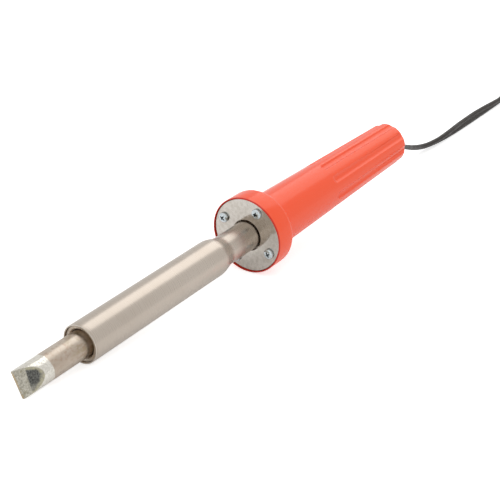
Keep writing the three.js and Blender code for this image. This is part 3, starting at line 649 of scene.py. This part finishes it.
# The hank, as in the CAD source
HANK_CENTRE = (235, -47)
HANK_RUN = 92
HANK_FOLD_RADIUS = 23
HANK_WAIST = 6
HANK_TURN_GAP = 0.5
HANK_LOOPS = 3
HANK_RUN_SHARE = 0.26
HANK_LEAD_IN = 4
TIE_THICKNESS = 0.8
HANK_DRAW = HANK_FOLD_RADIUS - HANK_WAIST
HANK_SLOPE = HANK_DRAW * pi / HANK_RUN
HANK_STEP = (LEAD_THICKNESS + HANK_TURN_GAP) / cos(atan(HANK_SLOPE))
HANK_CLIMB_FROM = (HANK_LOOPS + 1) / 2 - 0.5
HANK_CLIMB_TO = HANK_CLIMB_FROM + HANK_RUN_SHARE
HANK_TURN_ROUND = HANK_CLIMB_FROM + 0.5
HANK_OUTER_RADIUS = HANK_FOLD_RADIUS + HANK_STEP * HANK_CLIMB_TO
HANK_LIFT = TIE_THICKNESS + GAP
LAYER_STEP = LEAD_WIDTH + HANK_TURN_GAP
HANK_END = HANK_LOOPS + HANK_RUN_SHARE
REST_HEIGHT = LEAD_WIDTH / 2
HANK_SAMPLES = 800

PLUG_TAIL = 55
PLUG_INSET = 6
PLUG_HEIGHT = 16.5
# Stops of the tail: shares of its run and of its drop, and the turn of its broad side in degrees
TAIL_SHARES = [(0, 0, -90), (0.15, 0, -90), (0.5, 0.5, -135), (0.85, 1, -180), (1, 1, -180)]


def axis_point(station):
    """A point of the iron's axis, in millimetres of the model's frame."""
    return (IRON @ Vector((station * MM, 0, 0))) / MM


def hank_half_width(loops):
    inward = HANK_OUTER_RADIUS - HANK_STEP * min(loops, HANK_CLIMB_TO)
    outward = HANK_OUTER_RADIUS - HANK_STEP + HANK_STEP * (max(loops, HANK_TURN_ROUND) - HANK_TURN_ROUND)
    share = smooth((loops - HANK_CLIMB_TO) / (HANK_TURN_ROUND - HANK_CLIMB_TO))
    return mix(inward, outward, share)


def hank_point(t):
    loops = t * HANK_END
    phase = loops % 1
    half = hank_half_width(loops)
    height = REST_HEIGHT + LAYER_STEP * smooth((loops - HANK_CLIMB_FROM) / HANK_RUN_SHARE)
    far = 1 if phase < 0.5 else -1
    within = (phase % 0.5) / HANK_RUN_SHARE
    cx, cy = HANK_CENTRE
    if within <= 1:
        x = HANK_RUN * (0.5 - within)
        waist = (1 + cos(2 * pi * x / HANK_RUN)) / 2
        return Vector((cx + far * x, cy + far * (HANK_DRAW * waist - half), height + HANK_LIFT * waist))
    turn = pi * (phase % 0.5 - HANK_RUN_SHARE) / (0.5 - HANK_RUN_SHARE)
    x = -HANK_RUN / 2 - half * sin(turn)
    return Vector((cx + far * x, cy - far * half * cos(turn), height))


def spline(stops, per_span):
    """A centripetal Catmull-Rom line through (point, turn) stops, sampled evenly in each span."""
    points, turns = zip(*stops)
    ends = [2 * points[0] - points[1], *points, 2 * points[-1] - points[-2]]
    found = []
    for i in range(len(points) - 1):
        before, start, end, after = ends[i : i + 4]
        gaps = [sqrt((b - a).length) for a, b in ((before, start), (start, end), (end, after))]
        lead = (start - before) / gaps[0] - (end - before) / (gaps[0] + gaps[1]) + (end - start) / gaps[1]
        trail = (end - start) / gaps[1] - (after - start) / (gaps[1] + gaps[2]) + (after - end) / gaps[2]
        lead = lead * gaps[1]
        trail = trail * gaps[1]
        for k in range(per_span + (i == len(points) - 2)):
            w = k / per_span
            bend = 3 * (end - start) - 2 * lead - trail
            twist = 2 * (start - end) + lead + trail
            found.append((start + lead * w + bend * w**2 + twist * w**3, mix(turns[i], turns[i + 1], w)))
    return found


def lead_route():
    """The whole centre line, as (point, turn) stops in the model's frame, in millimetres."""
    end = axis_point(HANDLE_LENGTH)
    shift = Vector((end.x, 0, 0))
    stops = [(end, 0), (axis_point(HANDLE_LENGTH + EXIT_STRAIGHT), 0)]
    stops += [(shift + Vector((x, y, z)), turn) for x, y, z, turn in FREE_ROUTE]
    stops += [(shift + hank_point(0) + Vector((ahead, 0, 0)), -90) for ahead in (HANK_LEAD_IN, GAP)]
    route = spline(stops, FREE_SPAN_STEPS)
    route += [(shift + hank_point(share), -90) for share in shares(HANK_SAMPLES)]
    start = hank_point(1)
    drop = start.z - PLUG_HEIGHT / 2
    tail = []
    for along, down, turn in TAIL_SHARES:
        x = start.x - GAP - (PLUG_TAIL - 2 * GAP) * along
        tail.append((shift + Vector((x, start.y + PLUG_INSET * down, start.z - drop * down)), turn))
    route += spline(tail, TAIL_SPAN_STEPS)
    last, turn = route[-1]
    route.append((last - Vector((2, 0, 0)), turn))
    return route


def even_steps(route, step):
    """The route's stops, a step apart."""
    found = [route[0]]
    walked = 0.0
    for (a, turn_a), (b, turn_b) in zip(route, route[1:]):
        span = (b - a).length
        while walked + span >= step and span > 0:
            share = (step - walked) / span
            a, turn_a = a.lerp(b, share), mix(turn_a, turn_b, share)
            found.append((a, turn_a))
            span = (b - a).length
            walked = 0.0
        walked += span
    if (found[-1][0] - route[-1][0]).length > step / 4:
        found.append(route[-1])
    return found


def twin_section():
    """Section of the twin lead: two round cores joined by a web, its broad side along the first axis."""
    lobe = LEAD_THICKNESS / 2
    centre = (LEAD_WIDTH - LEAD_THICKNESS) / 2
    reach = acos((GROOVE_HALF - centre) / lobe)
    right = []
    for share in shares(LOBE_STEPS):
        across, out = polar(lobe, mix(-reach, reach, share))
        right.append((centre + across, out))
    left = [(-x, -y) for x, y in right]
    return [*right, (0, WEB_HALF), *left, (0, -WEB_HALF)]


def sweep(stops, section):
    """Rings of a section along stops. A turn of 0 lies flat."""
    rings = []
    for i, (point, turn) in enumerate(stops):
        before = stops[max(i - 1, 0)][0]
        after = stops[min(i + 1, len(stops) - 1)][0]
        tangent = (after - before).normalized()
        side = Vector((-tangent.y, tangent.x, 0)).normalized()
        lift = tangent.cross(side)
        angle = radians(turn)
        broad = side * cos(angle) + lift * sin(angle)
        thin = tangent.cross(broad)
        rings.append([point + broad * x + thin * y for x, y in section])
    return rings


def make_lead():
    stops = even_steps(lead_route(), LEAD_STEP)
    piece = make_piece("twin_lead", *loft(sweep(stops, twin_section())))
    shade(piece, 60)
    dress(piece, "iron", "lead_vinyl", LEAD_VINYL, "cord_free", "cord_hank", "cord_tail")
    path = [stop[0] * MM for stop in stops]
    length = sum((b - a).length for a, b in zip(path, path[1:]))
    return piece, path, length


def make_lead_inside():
    """The lead's straight end in the handle."""
    stops = [(Vector((HANDLE_LENGTH - LEAD_INSIDE * (1 - share), 0, 0)), 0) for share in shares(12)]
    piece = make_piece("twin_lead_inside", *loft(sweep(stops, twin_section())))
    shade(piece, 60)
    dress(piece, "iron", "lead_vinyl", LEAD_VINYL, "cord_inside_handle", place=IRON)


# --- Handle ---

FLANGE_RADIUS = 25
FLANGE_LENGTH = 16.7
FLANGE_FRONT_ROUND = 0.6
FLANGE_REAR_ROUND = 3.5
GRIP_ROOT_RADIUS = 17.85
GRIP_ROOT_FILLET = 1.5
GRIP_END_RADIUS = 14.8
HANDLE_END_ROUND = 3.6
CAVITY_REAR = 170
GRIP_WALL = 4.45
CAVITY_REAR_RADIUS = GRIP_END_RADIUS - GRIP_WALL
FLUTES = 9
FLUTE_START = 82
FLUTE_DEPTH = 1.3
FLUTE_TOOL_RADIUS = 3.6
FLUTE_PHASE = 106
FLUTE_SOFTNESS = 0.45
COLUMNS_PER_FLUTE = 48
LEAD_HOLE_RADIUS = 4.1
LEAD_HOLE_ROUND = 0.4
PLATE_RECESS_RADIUS = 24.2
PLATE_RECESS_EDGE = 0.15
SEAT_STATION = 3.7
RING_RECESS_RADIUS = 15.5
RING_SEAT = 6


def grip_radius(station):
    share = (station - FLANGE_LENGTH) / (HANDLE_LENGTH - FLANGE_LENGTH)
    return mix(GRIP_ROOT_RADIUS, GRIP_END_RADIUS, share)


def fluted(station, radius, angle):
    """The radius where the nearest flute's round-nosed tool has been."""
    half_width = sqrt(FLUTE_TOOL_RADIUS**2 - (FLUTE_TOOL_RADIUS - FLUTE_DEPTH) ** 2)
    nose = FLUTE_START + half_width
    if station < FLUTE_START - 1 or radius < CAVITY_REAR_RADIUS + 2:
        return radius
    pitch = 2 * pi / FLUTES
    away = (angle - radians(FLUTE_PHASE) + pitch / 2) % pitch - pitch / 2
    centre = grip_radius(max(station, nose)) + FLUTE_TOOL_RADIUS - FLUTE_DEPTH
    reach = FLUTE_TOOL_RADIUS**2 - max(nose - station, 0) ** 2
    across = centre * sin(away)
    if reach <= across**2:
        return radius
    floor = centre * cos(away) - sqrt(reach - across**2)
    overlap = max(FLUTE_SOFTNESS - abs(radius - floor), 0) / FLUTE_SOFTNESS
    return min(radius, floor) - overlap**2 * FLUTE_SOFTNESS / 4


def handle_profile():
    end = HANDLE_LENGTH - HANDLE_END_ROUND
    fillet = FLANGE_LENGTH + GRIP_ROOT_FILLET
    profile = [(0, PLATE_RECESS_RADIUS + PLATE_RECESS_EDGE)]
    front, rear = FLANGE_FRONT_ROUND, FLANGE_REAR_ROUND
    profile += arc(front, FLANGE_RADIUS - front, front, 180, 90, 6)
    profile += arc(FLANGE_LENGTH - rear, FLANGE_RADIUS - rear, rear, 90, 0, 12)
    profile += arc(fillet, grip_radius(fillet) + GRIP_ROOT_FILLET, GRIP_ROOT_FILLET, 180, 270, 8)
    profile += [(station, grip_radius(station)) for station in (30, 45, 60, 75)]
    nose_end = FLUTE_START + 6
    stations = [mix(FLUTE_START - 1.5, nose_end, share) for share in shares(30)]
    stations += [mix(nose_end, end, share) for share in shares(24)[1:-1]]
    profile += [(station, grip_radius(station)) for station in stations]
    profile += arc(end, grip_radius(end) - HANDLE_END_ROUND, HANDLE_END_ROUND, 90, 0, 16)
    hole_edge = LEAD_HOLE_RADIUS + LEAD_HOLE_ROUND
    profile += arc(HANDLE_LENGTH - LEAD_HOLE_ROUND, hole_edge, LEAD_HOLE_ROUND, 0, -90, 4)
    profile += [
        (CAVITY_REAR, LEAD_HOLE_RADIUS),
        (CAVITY_REAR, CAVITY_REAR_RADIUS),
        (RING_SEAT, GRIP_ROOT_RADIUS - GRIP_WALL),
        (RING_SEAT, RING_RECESS_RADIUS),
        (SEAT_STATION, RING_RECESS_RADIUS),
        (SEAT_STATION, PLATE_RECESS_RADIUS),
        (PLATE_RECESS_EDGE, PLATE_RECESS_RADIUS),
        profile[0],
    ]
    return profile


def make_handle():
    piece = turned("fluted_handle", handle_profile(), FLUTES * COLUMNS_PER_FLUTE, fluted, FLUTE_PHASE)
    shade(piece, 40)
    dress(piece, "iron", "handle_red", red_plastic(), "handle", place=IRON)


# --- Barrel, tip and what shows in the barrel's mouth ---

BARREL_REACH = 154
BARREL_RADIUS = 11.75
BARREL_WALL = 0.85
MOUTH_ROUND = 0.3
SHOULDER_FRONT = 37.5
SHOULDER_REAR = 24
NECK_RADIUS = 9.4
NECK_TAIL = 20
SET_SCREW_STATION = -148.8
SET_SCREW_ANGLE = -38.5
SET_SCREW_RADIUS = 2
SET_SCREW_SIDES = 40
SET_SCREW_SLOT = (6, 0.6, 1.6)
ROUND_SIDES = 144


def spoke_matrix(station, angle):
    """Takes Z to the direction away from the axis at an angle, from a station of the axis."""
    out = Vector((0, *polar(1, radians(angle))))
    along = Vector((1, 0, 0))
    across = out.cross(along)
    turn = Matrix((along, across, out)).transposed().to_4x4()
    return Matrix.Translation((station, 0, 0)) @ turn


def set_screw_hole():
    hole = pin("hole", SET_SCREW_RADIUS + GAP, 5, BARREL_RADIUS + 2, SET_SCREW_SIDES)
    return move(hole, spoke_matrix(SET_SCREW_STATION, SET_SCREW_ANGLE))


def make_barrel():
    outer = arc(MOUTH_ROUND - BARREL_REACH, BARREL_RADIUS - MOUTH_ROUND, MOUTH_ROUND, 180, 90, 5)
    outer += [(station, BARREL_RADIUS) for station in (-150, -130, -110, -90, -70, -50)]
    walls = []
    for share in shares(30):
        fall = (1 - cos(pi * share)) / 2
        walls.append((mix(-SHOULDER_FRONT, -SHOULDER_REAR, share), mix(BARREL_RADIUS, NECK_RADIUS, fall)))
    walls += [(station, NECK_RADIUS) for station in (-12, 0, NECK_TAIL)]
    outer += walls
    inner = [(station, radius - BARREL_WALL) for station, radius in reversed(walls)]
    inner += [(-60, BARREL_RADIUS - BARREL_WALL)]
    lip = 0.15
    inner += arc(lip - BARREL_REACH, BARREL_RADIUS - BARREL_WALL + lip, lip, 270, 180, 3)
    piece = turned("steel_barrel", [*outer, *inner, outer[0]], ROUND_SIDES)
    carve(piece, [set_screw_hole()])
    dress(piece, "iron", "barrel_steel", barrel_steel(), "barrel", place=IRON)


COLLAR_FRONT = -152.8
COLLAR_REAR = -144.8
COLLAR_COUNTERSINK = 0.9
COLLAR_BORE = 8.2
COLLAR_RADIUS = 10.85


def make_collar():
    edge = 0.25
    start = (COLLAR_FRONT + COLLAR_COUNTERSINK, COLLAR_BORE)
    profile = [
        start,
        (COLLAR_FRONT, COLLAR_BORE + COLLAR_COUNTERSINK),
        (COLLAR_FRONT, COLLAR_RADIUS - edge),
        (COLLAR_FRONT + edge, COLLAR_RADIUS),
        (COLLAR_REAR - edge, COLLAR_RADIUS),
        (COLLAR_REAR, COLLAR_RADIUS - edge),
        (COLLAR_REAR, COLLAR_BORE + edge),
        (COLLAR_REAR - edge, COLLAR_BORE),
        start,
    ]
    piece = carve(turned("steel_collar", profile, ROUND_SIDES), [set_screw_hole()])
    dress(piece, "iron", "inner_steel", INNER_STEEL, "tip_collar", place=IRON)


def make_set_screw():
    top = BARREL_RADIUS - GAP
    screw = pin("slotted_set_screw", SET_SCREW_RADIUS, COLLAR_BORE, top, SET_SCREW_SIDES)
    carve(screw, [block("slot", SET_SCREW_SLOT, (0, 0, top))])
    move(screw, spoke_matrix(SET_SCREW_STATION, SET_SCREW_ANGLE))
    soften(screw, 0.12, 2)
    dress(screw, "set_screw", "inner_steel", INNER_STEEL, "tip_set_screw", place=IRON)


TIP_RADIUS = 7.9
TIP_FRONT = -201.3
TIP_REAR = -60.3
TIP_TAIL_CHAMFER = 1
TIP_CORNER = 0.6
EDGE_THICKNESS = 1.2
CHISEL_LENGTH = 12.8
CHISEL_SOFTNESS = 0.5
CHISEL_REAR = -181
LUMP_SCALE = 0.55
LUMP_HEIGHT = 0.09


def soft_hold(value, limit, softness):
    """Holds a value within a limit, with a rounded corner."""
    size = abs(value)
    overlap = max(softness - abs(size - limit), 0) / softness
    held = min(size, limit) - overlap**2 * softness / 4
    return copysign(max(held, 0), value)


def tip_ring(station, radius):
    """One section of the tip: a circle ground flat on two sides, with uneven tinning."""
    lean = radians(CHISEL_ANGLE)
    slope = (TIP_RADIUS - EDGE_THICKNESS / 2) / CHISEL_LENGTH
    half = EDGE_THICKNESS / 2 + slope * (station - TIP_FRONT)
    sides = 200
    ring = []
    for j in range(sides):
        angle = 2 * pi * j / sides
        u, v = polar(radius, angle)
        if half < TIP_RADIUS + 1:
            v = soft_hold(v, half, min(CHISEL_SOFTNESS, half))
        y = -u * sin(lean) + v * cos(lean)
        z = u * cos(lean) + v * sin(lean)
        tinned = smooth((TINNED_STATION - station) / 2)
        lumps = noise.fractal(Vector((station, y, z)) * LUMP_SCALE, 0.8, 2.0, 3) * LUMP_HEIGHT * tinned
        scale = 1 - abs(lumps) / max(hypot(y, z), 3)
        ring.append((station, y * scale, z * scale))
    return ring


def make_tip():
    places = []
    for share in shares(5):
        angle = radians(90 * share)
        reach = TIP_RADIUS - TIP_CORNER * (1 - sin(angle))
        places.append((TIP_FRONT + TIP_CORNER * (1 - cos(angle)), reach))
    for share in shares(64)[1:]:
        places.append((mix(TIP_FRONT + TIP_CORNER, CHISEL_REAR, share), TIP_RADIUS))
    stations = (-176, -168, -155, -140, -100, -80, TIP_REAR - TIP_TAIL_CHAMFER)
    places += [(station, TIP_RADIUS) for station in stations]
    places.append((TIP_REAR, TIP_RADIUS - TIP_TAIL_CHAMFER))
    piece = make_piece("chisel_bit", *loft([tip_ring(*place) for place in places]))
    shade(piece, 50)
    dress(piece, "tip", "tip", tip_metal(), "chisel_tip", place=IRON)


# --- Front plate and its screws ---

PLATE_FRONT = 0.8
PLATE_REAR = 2.3
PLATE_RADIUS = 23.9
PLATE_HOLE_RADIUS = 10.3
SCREW_PITCH_RADIUS = 18.7
SCREW_PHASE = 28
SCREW_COUNT = 4
SCREW_HOLE_RADIUS = 2.05
SCREW_RADIUS = 1.75
SCREW_TIP = 12.5
HEAD_RADIUS = 3.3
HEAD_UNDERSIDE = 0.5
HEAD_TOP = -1.7
HEAD_RIM = 0.9
RECESS_TURNS = (38, 12, 60, 25)


def screw_places():
    turns = [radians(SCREW_PHASE + 360 * i / SCREW_COUNT) for i in range(SCREW_COUNT)]
    return [polar(SCREW_PITCH_RADIUS, turn) for turn in turns]


def make_plate():
    edge = 0.2
    profile = [
        *arc(PLATE_FRONT + edge, PLATE_HOLE_RADIUS + edge, edge, 270, 180, 3),
        (PLATE_FRONT, 16),
        *arc(PLATE_FRONT + edge, PLATE_RADIUS - edge, edge, 180, 90, 3),
        *arc(PLATE_REAR - edge, PLATE_RADIUS - edge, edge, 90, 0, 3),
        *arc(PLATE_REAR - edge, PLATE_HOLE_RADIUS + edge, edge, 360, 270, 3),
    ]
    profile.append(profile[0])
    plate = turned("steel_plate", profile, ROUND_SIDES)
    holes = []
    for y, z in screw_places():
        hole = pin("hole", SCREW_HOLE_RADIUS, -2, 6, 32)
        holes.append(move(hole, Matrix.Translation((0, y, z)) @ Matrix.Rotation(pi / 2, 4, "Y")))
    carve(plate, holes)
    dress(plate, "iron", "plate_steel", plate_steel(), "front_plate", place=IRON)


def cross_cutter(turn):
    """A tapering cross that cuts the driver's recess."""
    arm, half, depth = 1.9, 0.52, 1.6
    outline = []
    for k in range(4):
        angle = radians(90 * k)
        for along, side in ((half, -half), (arm, -half * 0.8), (arm, half * 0.8)):
            outline.append((along * cos(angle) - side * sin(angle), along * sin(angle) + side * cos(angle)))
    rings = []
    for station, scale in ((HEAD_TOP - 1.2, 1.25), (HEAD_TOP + 0.1, 1.0), (HEAD_TOP + depth, 0.38)):
        rings.append([(station, y * scale, z * scale) for y, z in outline])
    return move(make_piece("cross", *loft(rings)), Matrix.Rotation(radians(turn), 4, "X"))


def make_plate_screws():
    rim = HEAD_UNDERSIDE - HEAD_RIM
    dome = []
    for share in shares(12):
        turn = pi / 2 * share
        dome.append((rim - (rim - HEAD_TOP) * cos(turn), HEAD_RADIUS * sin(turn)))
    dome[0] = (HEAD_TOP, 0)
    profile = [
        *dome,
        *arc(HEAD_UNDERSIDE - 0.15, HEAD_RADIUS - 0.15, 0.15, 90, 0, 3),
        (HEAD_UNDERSIDE, SCREW_RADIUS),
        (SCREW_TIP - SCREW_RADIUS, SCREW_RADIUS),
        (SCREW_TIP, 0),
    ]
    for i, (y, z) in enumerate(screw_places()):
        screw = turned(f"pan_head_screw_{i + 1}", profile, 48)
        carve(screw, [cross_cutter(RECESS_TURNS[i])])
        soften(screw, 0.08, 2, 40)
        place = IRON @ Matrix.Translation((0, y * MM, z * MM))
        dress(screw, "iron", "screw_zinc", ZINC, f"plate_screw_{i + 1}", place=place)


# --- Plug, blades and the hank's strap ---

PLUG_LENGTH = 26
PLUG_WIDTH = 25
PLUG_NECK_LENGTH = 26
PLUG_NECK_WIDTH = 11
PLUG_NECK_HEIGHT = 7
PLUG_TAPER_SHARE = 0.8
PLUG_ROUND = 2.2
PLUG_CORNER = 3.4
PLUG_PINCH = 0.9
PLUG_SHOULDER_FRONT = PLUG_LENGTH - 3
PLUG_SHOULDER_LENGTH = 7
RIB_DEPTH = 0.45
RIB_PITCH = 1.25
RIB_FRONT = 7
RIB_REAR = 19.6
NECK_GROOVES = 5
NECK_GROOVE_DEPTH = 0.75
BLADE_SPACING = 12.7
BLADE_WIDTH = 6.35
BLADE_THICKNESS = 1.5
BLADE_ROOT = 10
BLADE_CORNER = 1.7
BLADE_HOLE_RADIUS = 1.6
BLADE_HOLE_INSET = 3.2
STRAP_CORNER = 3.2


def cad_corners(node):
    """The low corner, the high corner and the middle of a CAD node, in millimetres."""
    low, high = (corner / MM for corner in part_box(node))
    return low, high, (low + high) / 2


def rounded_section(half_width, half_height, corner, per_corner=7):
    """Points of a rounded rectangle across X, as (y, z)."""
    corner = min(corner, half_width * 0.98, half_height * 0.98)
    found = []
    for sy, sz, start in ((1, 1, 0), (-1, 1, 90), (-1, -1, 180), (1, -1, 270)):
        for share in shares(per_corner):
            y, z = polar(corner, radians(start + 90 * share))
            found.append((sy * (half_width - corner) + y, sz * (half_height - corner) + z))
    return found


def make_plug():
    low, _, middle = cad_corners("plug_body")
    rings = []

    def ring(station, half_width, half_height, corner):
        section = rounded_section(half_width, half_height, corner)
        rings.append([(low.x + station, middle.y + y, middle.z + z) for y, z in section])

    wide, high_half = PLUG_WIDTH / 2, PLUG_HEIGHT / 2
    for share in shares(6):
        turn = radians(90 * share)
        inset = PLUG_ROUND * (1 - sin(turn))
        station = PLUG_ROUND * (1 - cos(turn))
        ring(station, wide - inset, high_half - inset, PLUG_CORNER - inset)
    for share in shares(44)[1:]:
        station = mix(PLUG_ROUND, PLUG_SHOULDER_FRONT, share)
        ribs = max(0, sin((station - 6) * pi / RIB_PITCH)) if RIB_FRONT < station < RIB_REAR else 0
        pinch = PLUG_PINCH * sin(pi * smooth((station - 4) / 19))
        ring(station, wide - pinch - RIB_DEPTH * ribs, high_half, PLUG_CORNER)
    start = PLUG_LENGTH + PLUG_SHOULDER_LENGTH
    neck_wide, neck_high = PLUG_NECK_WIDTH / 2, PLUG_NECK_HEIGHT / 2
    for along in shares(12)[1:]:
        share = smooth(along)
        station = mix(PLUG_SHOULDER_FRONT, start, along)
        corner = mix(PLUG_CORNER, 2.6, share)
        ring(station, mix(wide, neck_wide, share), mix(high_half, neck_high, share), corner)
    length = PLUG_NECK_LENGTH - PLUG_SHOULDER_LENGTH
    for share in shares(76)[1:]:
        taper = mix(1, PLUG_TAPER_SHARE, share)
        groove = smooth(max(0, cos(2 * pi * share * NECK_GROOVES)) * 1.4) * NECK_GROOVE_DEPTH
        if share > 0.96:
            groove = 0
        ring(start + length * share, neck_wide * taper - groove, neck_high * taper - groove * 0.6, 2.4)
    plug = make_piece("moulded_plug", *loft(rings))
    slots = []
    size = (2 * (BLADE_ROOT + GAP), BLADE_THICKNESS + 2 * GAP, BLADE_WIDTH + 2 * GAP)
    for hand in (1, -1):
        lane = middle.y + hand * BLADE_SPACING / 2
        slots.append(block("slot", size, (low.x, lane, middle.z)))
    carve(plug, slots, 38)
    dress(plug, "iron", "plug_vinyl", PLUG_VINYL, "plug_body")
    return plug


def make_blade(number):
    low, high, middle = cad_corners(f"plug_blade_{number}")
    corner = BLADE_CORNER
    outline = [(high.x, low.z), (high.x, high.z)]
    for centre_z, start in ((high.z - corner, 90), (low.z + corner, 180)):
        for i in range(7):
            angle = radians(start + 15 * i)
            x, z = polar(corner, angle)
            outline.append((low.x + corner + x, centre_z + z))
    rings = [[(x, y, z) for x, z in outline] for y in (low.y, high.y)]
    blade = make_piece(f"brass_blade_{number}", *loft(rings))
    hole = pin("hole", BLADE_HOLE_RADIUS, -3, 3, 32)
    turn = Matrix.Rotation(pi / 2, 4, "X")
    carve(blade, [move(hole, Matrix.Translation((low.x + BLADE_HOLE_INSET, middle.y, middle.z)) @ turn)])
    soften(blade, 0.28, 3, 40)
    dress(blade, "iron", "blade_brass", BLADE_BRASS, f"plug_blade_{number}")
    return blade


def make_strap():
    """The strap round the hank's waist, a closed band."""
    low, high, middle = cad_corners("hank_tie")
    half = (high - low) / 2
    steps = 12
    rings = []
    for edge, inset in ((-1, 0), (1, 0), (1, TIE_THICKNESS), (-1, TIE_THICKNESS)):
        section = rounded_section(half.y - inset, half.z - inset, STRAP_CORNER - inset, steps)
        rings.append([(middle.x + edge * half.x, middle.y + y, middle.z + z) for y, z in section])
    points, faces = loft([*rings, rings[0]], caps=False)
    count = 4 * len(rings[0])
    faces = [tuple(index % count for index in face) for face in faces]
    strap = make_piece("hank_strap", points[:count], faces)
    soften(strap, 0.2, 3, 40)
    dress(strap, "iron", "tie", webbing(), "hank_tie")
    return strap


lead, lead_path, lead_length = make_lead()
make_lead_inside()
plug = make_plug()
blades = [make_blade(number) for number in (1, 2)]
strap = make_strap()
make_handle()
make_barrel()
make_collar()
make_set_screw()
make_tip()
make_plate()
make_plate_screws()

# --- Finishes of the CAD nodes that stay ---

NODE_FINISHES = (
    (CERAMIC, "heater_former", "rear_insulator"),
    (HEATER_WIRE, "heater_winding", "heater_lead_1", "heater_lead_2"),
    (mica(), "mica_sleeve"),
    (fibre(), "plate_gasket"),
    (INNER_STEEL, "neck_ring", "cord_clip"),
    (GLASS_SLEEVE, "lead_sleeve_1", "lead_sleeve_2", "connector_cover_1", "connector_cover_2"),
    (CONNECTOR_BRASS, "connector_1", "connector_2"),
    (LEAD_VINYL, "cord_core_1", "cord_core_2"),
)
for finish, *node_names in NODE_FINISHES:
    for node_name in node_names:
        for material_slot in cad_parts[node_name].material_slots:
            material_slot.material = finish

# --- Floor and light ---

FLOOR_REACH = 8000
FLOOR_DROP = 0.05
FLOOR_COLOUR = 0.86
FLOOR_LIFT = 0.64
FLOOR_MIRRORED_LIFT = 0.2
WORLD_STRENGTH = 0.86
PANEL_PLACE = Vector((1.15, 0.15, 1.25))
PANEL_AIM = Vector((0, 0, 0.03))
PANEL_WIDTH = 1.25
PANEL_POWER = 4.6


def make_floor():
    far = FLOOR_REACH
    points = [(x, y, -FLOOR_DROP) for x, y in ((-far, -far), (far, -far), (far, far), (-far, far))]
    floor = make_piece("floor", points, [(0, 1, 2, 3)])
    look = Finish("floor", (FLOOR_COLOUR,) * 3, 0.9)
    look.set(Specular_IOR_Level=0, Emission_Color=(1, 1, 1, 1))
    path = look.add("ShaderNodeLightPath")
    seen = look.times(path.outputs["Is Camera Ray"], FLOOR_LIFT)
    mirrored = look.math("MAXIMUM", path.outputs["Is Glossy Ray"], path.outputs["Is Transmission Ray"])
    mirrored = look.times(mirrored, FLOOR_MIRRORED_LIFT)
    look.feed(look.shader.inputs["Emission Strength"], look.plus(seen, mirrored))
    floor.data.materials.append(look.material)


def make_world():
    world = bpy.data.worlds.new("studio")
    world.use_nodes = True
    scene.world = world
    background = world.node_tree.nodes["Background"]
    background.inputs["Color"].default_value = (1, 1, 1, 1)
    background.inputs["Strength"].default_value = WORLD_STRENGTH


def make_panel():
    data = bpy.data.lights.new("overhead", "AREA")
    data.shape = "RECTANGLE"
    data.size = data.size_y = PANEL_WIDTH
    data.energy = PANEL_POWER
    stand("overhead", data, PANEL_PLACE, PANEL_AIM - PANEL_PLACE)


make_floor()
make_world()
make_panel()

scene.view_settings.view_transform = "Standard"
